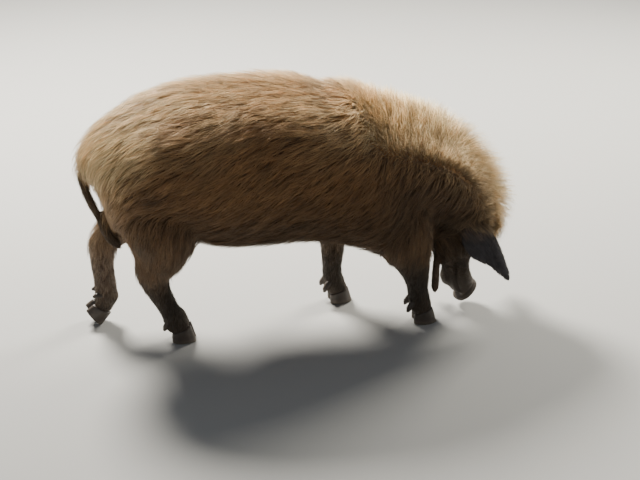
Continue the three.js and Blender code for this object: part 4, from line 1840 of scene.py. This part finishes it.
# %% [markdown]
# The second half of the tree plants the bristle on every guide point, turned to the
# point's own way and spun at random round it, and makes the copies real mesh.
# %% Plant the bristles
def plant_bristles(group, into, out, bristle):
    new = group.nodes.new
    link = group.links.new
    way = new("GeometryNodeInputNamedAttribute")
    way.data_type = "FLOAT_VECTOR"
    way.inputs["Name"].default_value = "bristle_way"
    aim = new("FunctionNodeAlignRotationToVector")
    aim.axis = "Z"
    spin = new("FunctionNodeRandomValue")
    spin.data_type = "FLOAT"
    spin.inputs[2].default_value = 0.0
    spin.inputs[3].default_value = 6.28
    twist = new("ShaderNodeCombineXYZ")
    turn = new("FunctionNodeRotateRotation")
    turn.rotation_space = "LOCAL"
    length = new("GeometryNodeInputNamedAttribute")
    length.data_type = "FLOAT"
    length.inputs["Name"].default_value = "bristle_length"
    scale = new("ShaderNodeMath")
    scale.operation = "MULTIPLY"
    stretch = new("ShaderNodeCombineXYZ")
    plant = new("GeometryNodeInstanceOnPoints")
    real = new("GeometryNodeRealizeInstances")
    paint = new("GeometryNodeSetMaterial")
    link(way.outputs["Attribute"], aim.inputs["Vector"])
    link(into.outputs["Seed"], spin.inputs["Seed"])
    link(spin.outputs[1], twist.inputs["Z"])
    link(aim.outputs["Rotation"], turn.inputs["Rotation"])
    link(twist.outputs["Vector"], turn.inputs["Rotate By"])
    link(length.outputs["Attribute"], scale.inputs[0])
    link(into.outputs["Length"], scale.inputs[1])
    link(scale.outputs[0], stretch.inputs["Z"])
    link(scale.outputs[0], stretch.inputs["X"])
    stretch.inputs["Y"].default_value = 1.0
    link(into.outputs["Geometry"], plant.inputs["Points"])
    link(bristle, plant.inputs["Instance"])
    link(turn.outputs["Rotation"], plant.inputs["Rotation"])
    link(stretch.outputs["Vector"], plant.inputs["Scale"])
    link(plant.outputs["Instances"], real.inputs["Geometry"])
    link(real.outputs["Geometry"], paint.inputs["Geometry"])
    link(into.outputs["Material"], paint.inputs["Material"])
    link(paint.outputs["Geometry"], out.inputs["Geometry"])


GROW_BRISTLES = make_bristle_nodes()
print("node group:", GROW_BRISTLES.name)


# %% [markdown]
# Lashes follow the curve of the upper lid, and bristles stand on the chin and lips. Their
# guide points are worked out from the eye's own axes and from the skin of the head.
# %% Guides for lashes and chin bristles
LASHES = 36  # on each eye
CHIN_BRISTLES = 120
LASH_LENGTH = 0.012


def lash_guides():
    maker = np.random.default_rng(81)
    spots, ways, lengths = [], [], []
    for side in SIDES.values():
        gaze, long_way, short_way = eye_axes(side)
        lid_up = short_way * side
        for across in np.linspace(-0.92, 0.92, LASHES) + maker.normal(size=LASHES) * 0.02:
            height = OPENING_HIGH * max(1 - across**2, 0) ** 0.8 + 0.10
            way = unit(gaze + long_way * across * OPENING_LONG + lid_up * height)
            spot = EYE_AT * np.array([1, side, 1]) + way * (EYE_RADIUS + 0.6 * LID_THICK)
            lean = gaze * 0.9 + lid_up * 0.35 + long_way * (0.5 * across - 0.25)
            spots.append(from_head(spot[None])[0])
            ways.append(from_head(unit(lean + maker.normal(size=3) * 0.12)[None])[0] - POLL)
            lengths.append(LASH_LENGTH * maker.uniform(0.7, 1.2))
    return np.array(spots), np.array(ways), np.array(lengths)


def chin_guides():
    maker = np.random.default_rng(82)
    places = skin_points - MIDDLE
    local = in_head(places)
    low = owned_by(skin_owner, "head") & (local[:, 2] > -0.212) & (local[:, 2] < -0.110)
    chosen = maker.choice(np.flatnonzero(low & (local[:, 0] < 0.012)), CHIN_BRISTLES, replace=False)
    stray = maker.normal(size=(CHIN_BRISTLES, 3)) * 0.2
    ways = unit(skin_calm[chosen] + 0.9 * unit(skin_lie[chosen]) + stray)
    lengths = maker.uniform(0.007, 0.017, CHIN_BRISTLES)
    return places[chosen] - skin_calm[chosen] * 0.0008, ways, lengths


def guide_mesh(name, spots, ways, lengths):
    mesh = bpy.data.meshes.new(name)
    mesh.from_pydata((spots + MIDDLE).tolist(), [], [])
    heading = mesh.attributes.new("bristle_way", "FLOAT_VECTOR", "POINT")
    heading.data.foreach_set("vector", ways.ravel())
    set_float(mesh, "bristle_length", lengths)
    return mesh


BRISTLE_GUIDES = {"lashes": lash_guides(), "chin_bristles": chin_guides()}
print("guide points:", {name: len(guides[0]) for name, guides in BRISTLE_GUIDES.items()})


# %% [markdown]
# The grower runs on each guide, its result becomes a plain mesh, and the guide is removed.
# Each bristle then gets a patch of the skin's unwrap, as the coat's tufts have.
# %% Lashes and chin bristles


def nearest_flat(points):
    faces = [skin_tree.find_nearest(Vector(point))[2] for point in points]
    return skin_flat[skin_triangles[faces, 0]]


def grown_bristles(name, guides, seed, material):
    spots, ways, lengths = guides
    guide = bpy.data.objects.new(f"{name}_guide", guide_mesh(f"{name}_guide", spots, ways, lengths))
    SCENE.collection.objects.link(guide)
    grower = guide.modifiers.new("grow", "NODES")
    grower.node_group = GROW_BRISTLES
    values = {"Length": 1.0, "Thickness": 0.00016, "Bend": 0.22, "Seed": seed, "Material": material}
    for item in GROW_BRISTLES.interface.items_tree:
        if item.item_type == "SOCKET" and item.in_out == "INPUT" and item.name in values:
            grower[item.identifier] = values[item.name]
    ready = guide.evaluated_get(bpy.context.evaluated_depsgraph_get())
    mesh = bpy.data.meshes.new_from_object(ready)
    bpy.data.objects.remove(guide)
    mesh.name = name
    patch_bristles(mesh, nearest_flat(spots + MIDDLE), len(spots))
    return mesh


def patch_bristles(mesh, flat, count):
    """Gives every bristle its patch of the skin's unwrap."""
    points = points_of(mesh)
    size = len(points) // count
    local = points.reshape(count, size, 3)
    low = local.min(axis=1, keepdims=True)
    span = np.maximum(np.ptp(local, axis=1, keepdims=True), 1e-6)
    share = (local - low) / span - 0.5
    patch = flat[:, None, :] + share[:, :, (0, 2)] * PATCH
    corner = np.empty(len(mesh.loops), dtype=np.int64)
    mesh.loops.foreach_get("vertex_index", corner)
    while mesh.uv_layers:
        mesh.uv_layers.remove(mesh.uv_layers[0])
    bake = mesh.uv_layers.new(name="OFBake")
    bake.data.foreach_set("uv", patch.reshape(-1, 2)[corner].ravel())


def make_bristle_material():
    material, _, links, shader = new_material("bristle")
    tree = material.node_tree
    grain = add_group(tree, GRAIN, Scale=90.0, Pores=0.2)
    dark, light = (0.030, 0.022, 0.016, 1), (0.13, 0.085, 0.05, 1)
    colour = add_mix(tree, "MIX", grain.outputs["Mask"], dark, light)
    links.new(colour, shader.inputs["Base Color"])
    shader.inputs["Roughness"].default_value = 0.45
    return material


BRISTLE_MATERIAL = make_bristle_material()
for seed, (name, guides) in enumerate(BRISTLE_GUIDES.items(), start=5):
    mesh = grown_bristles(name, guides, seed, BRISTLE_MATERIAL)
    mesh.materials.clear()
    add_piece(name, mesh, BRISTLE_MATERIAL)
    print(name, "has", len(mesh.polygons), "faces")
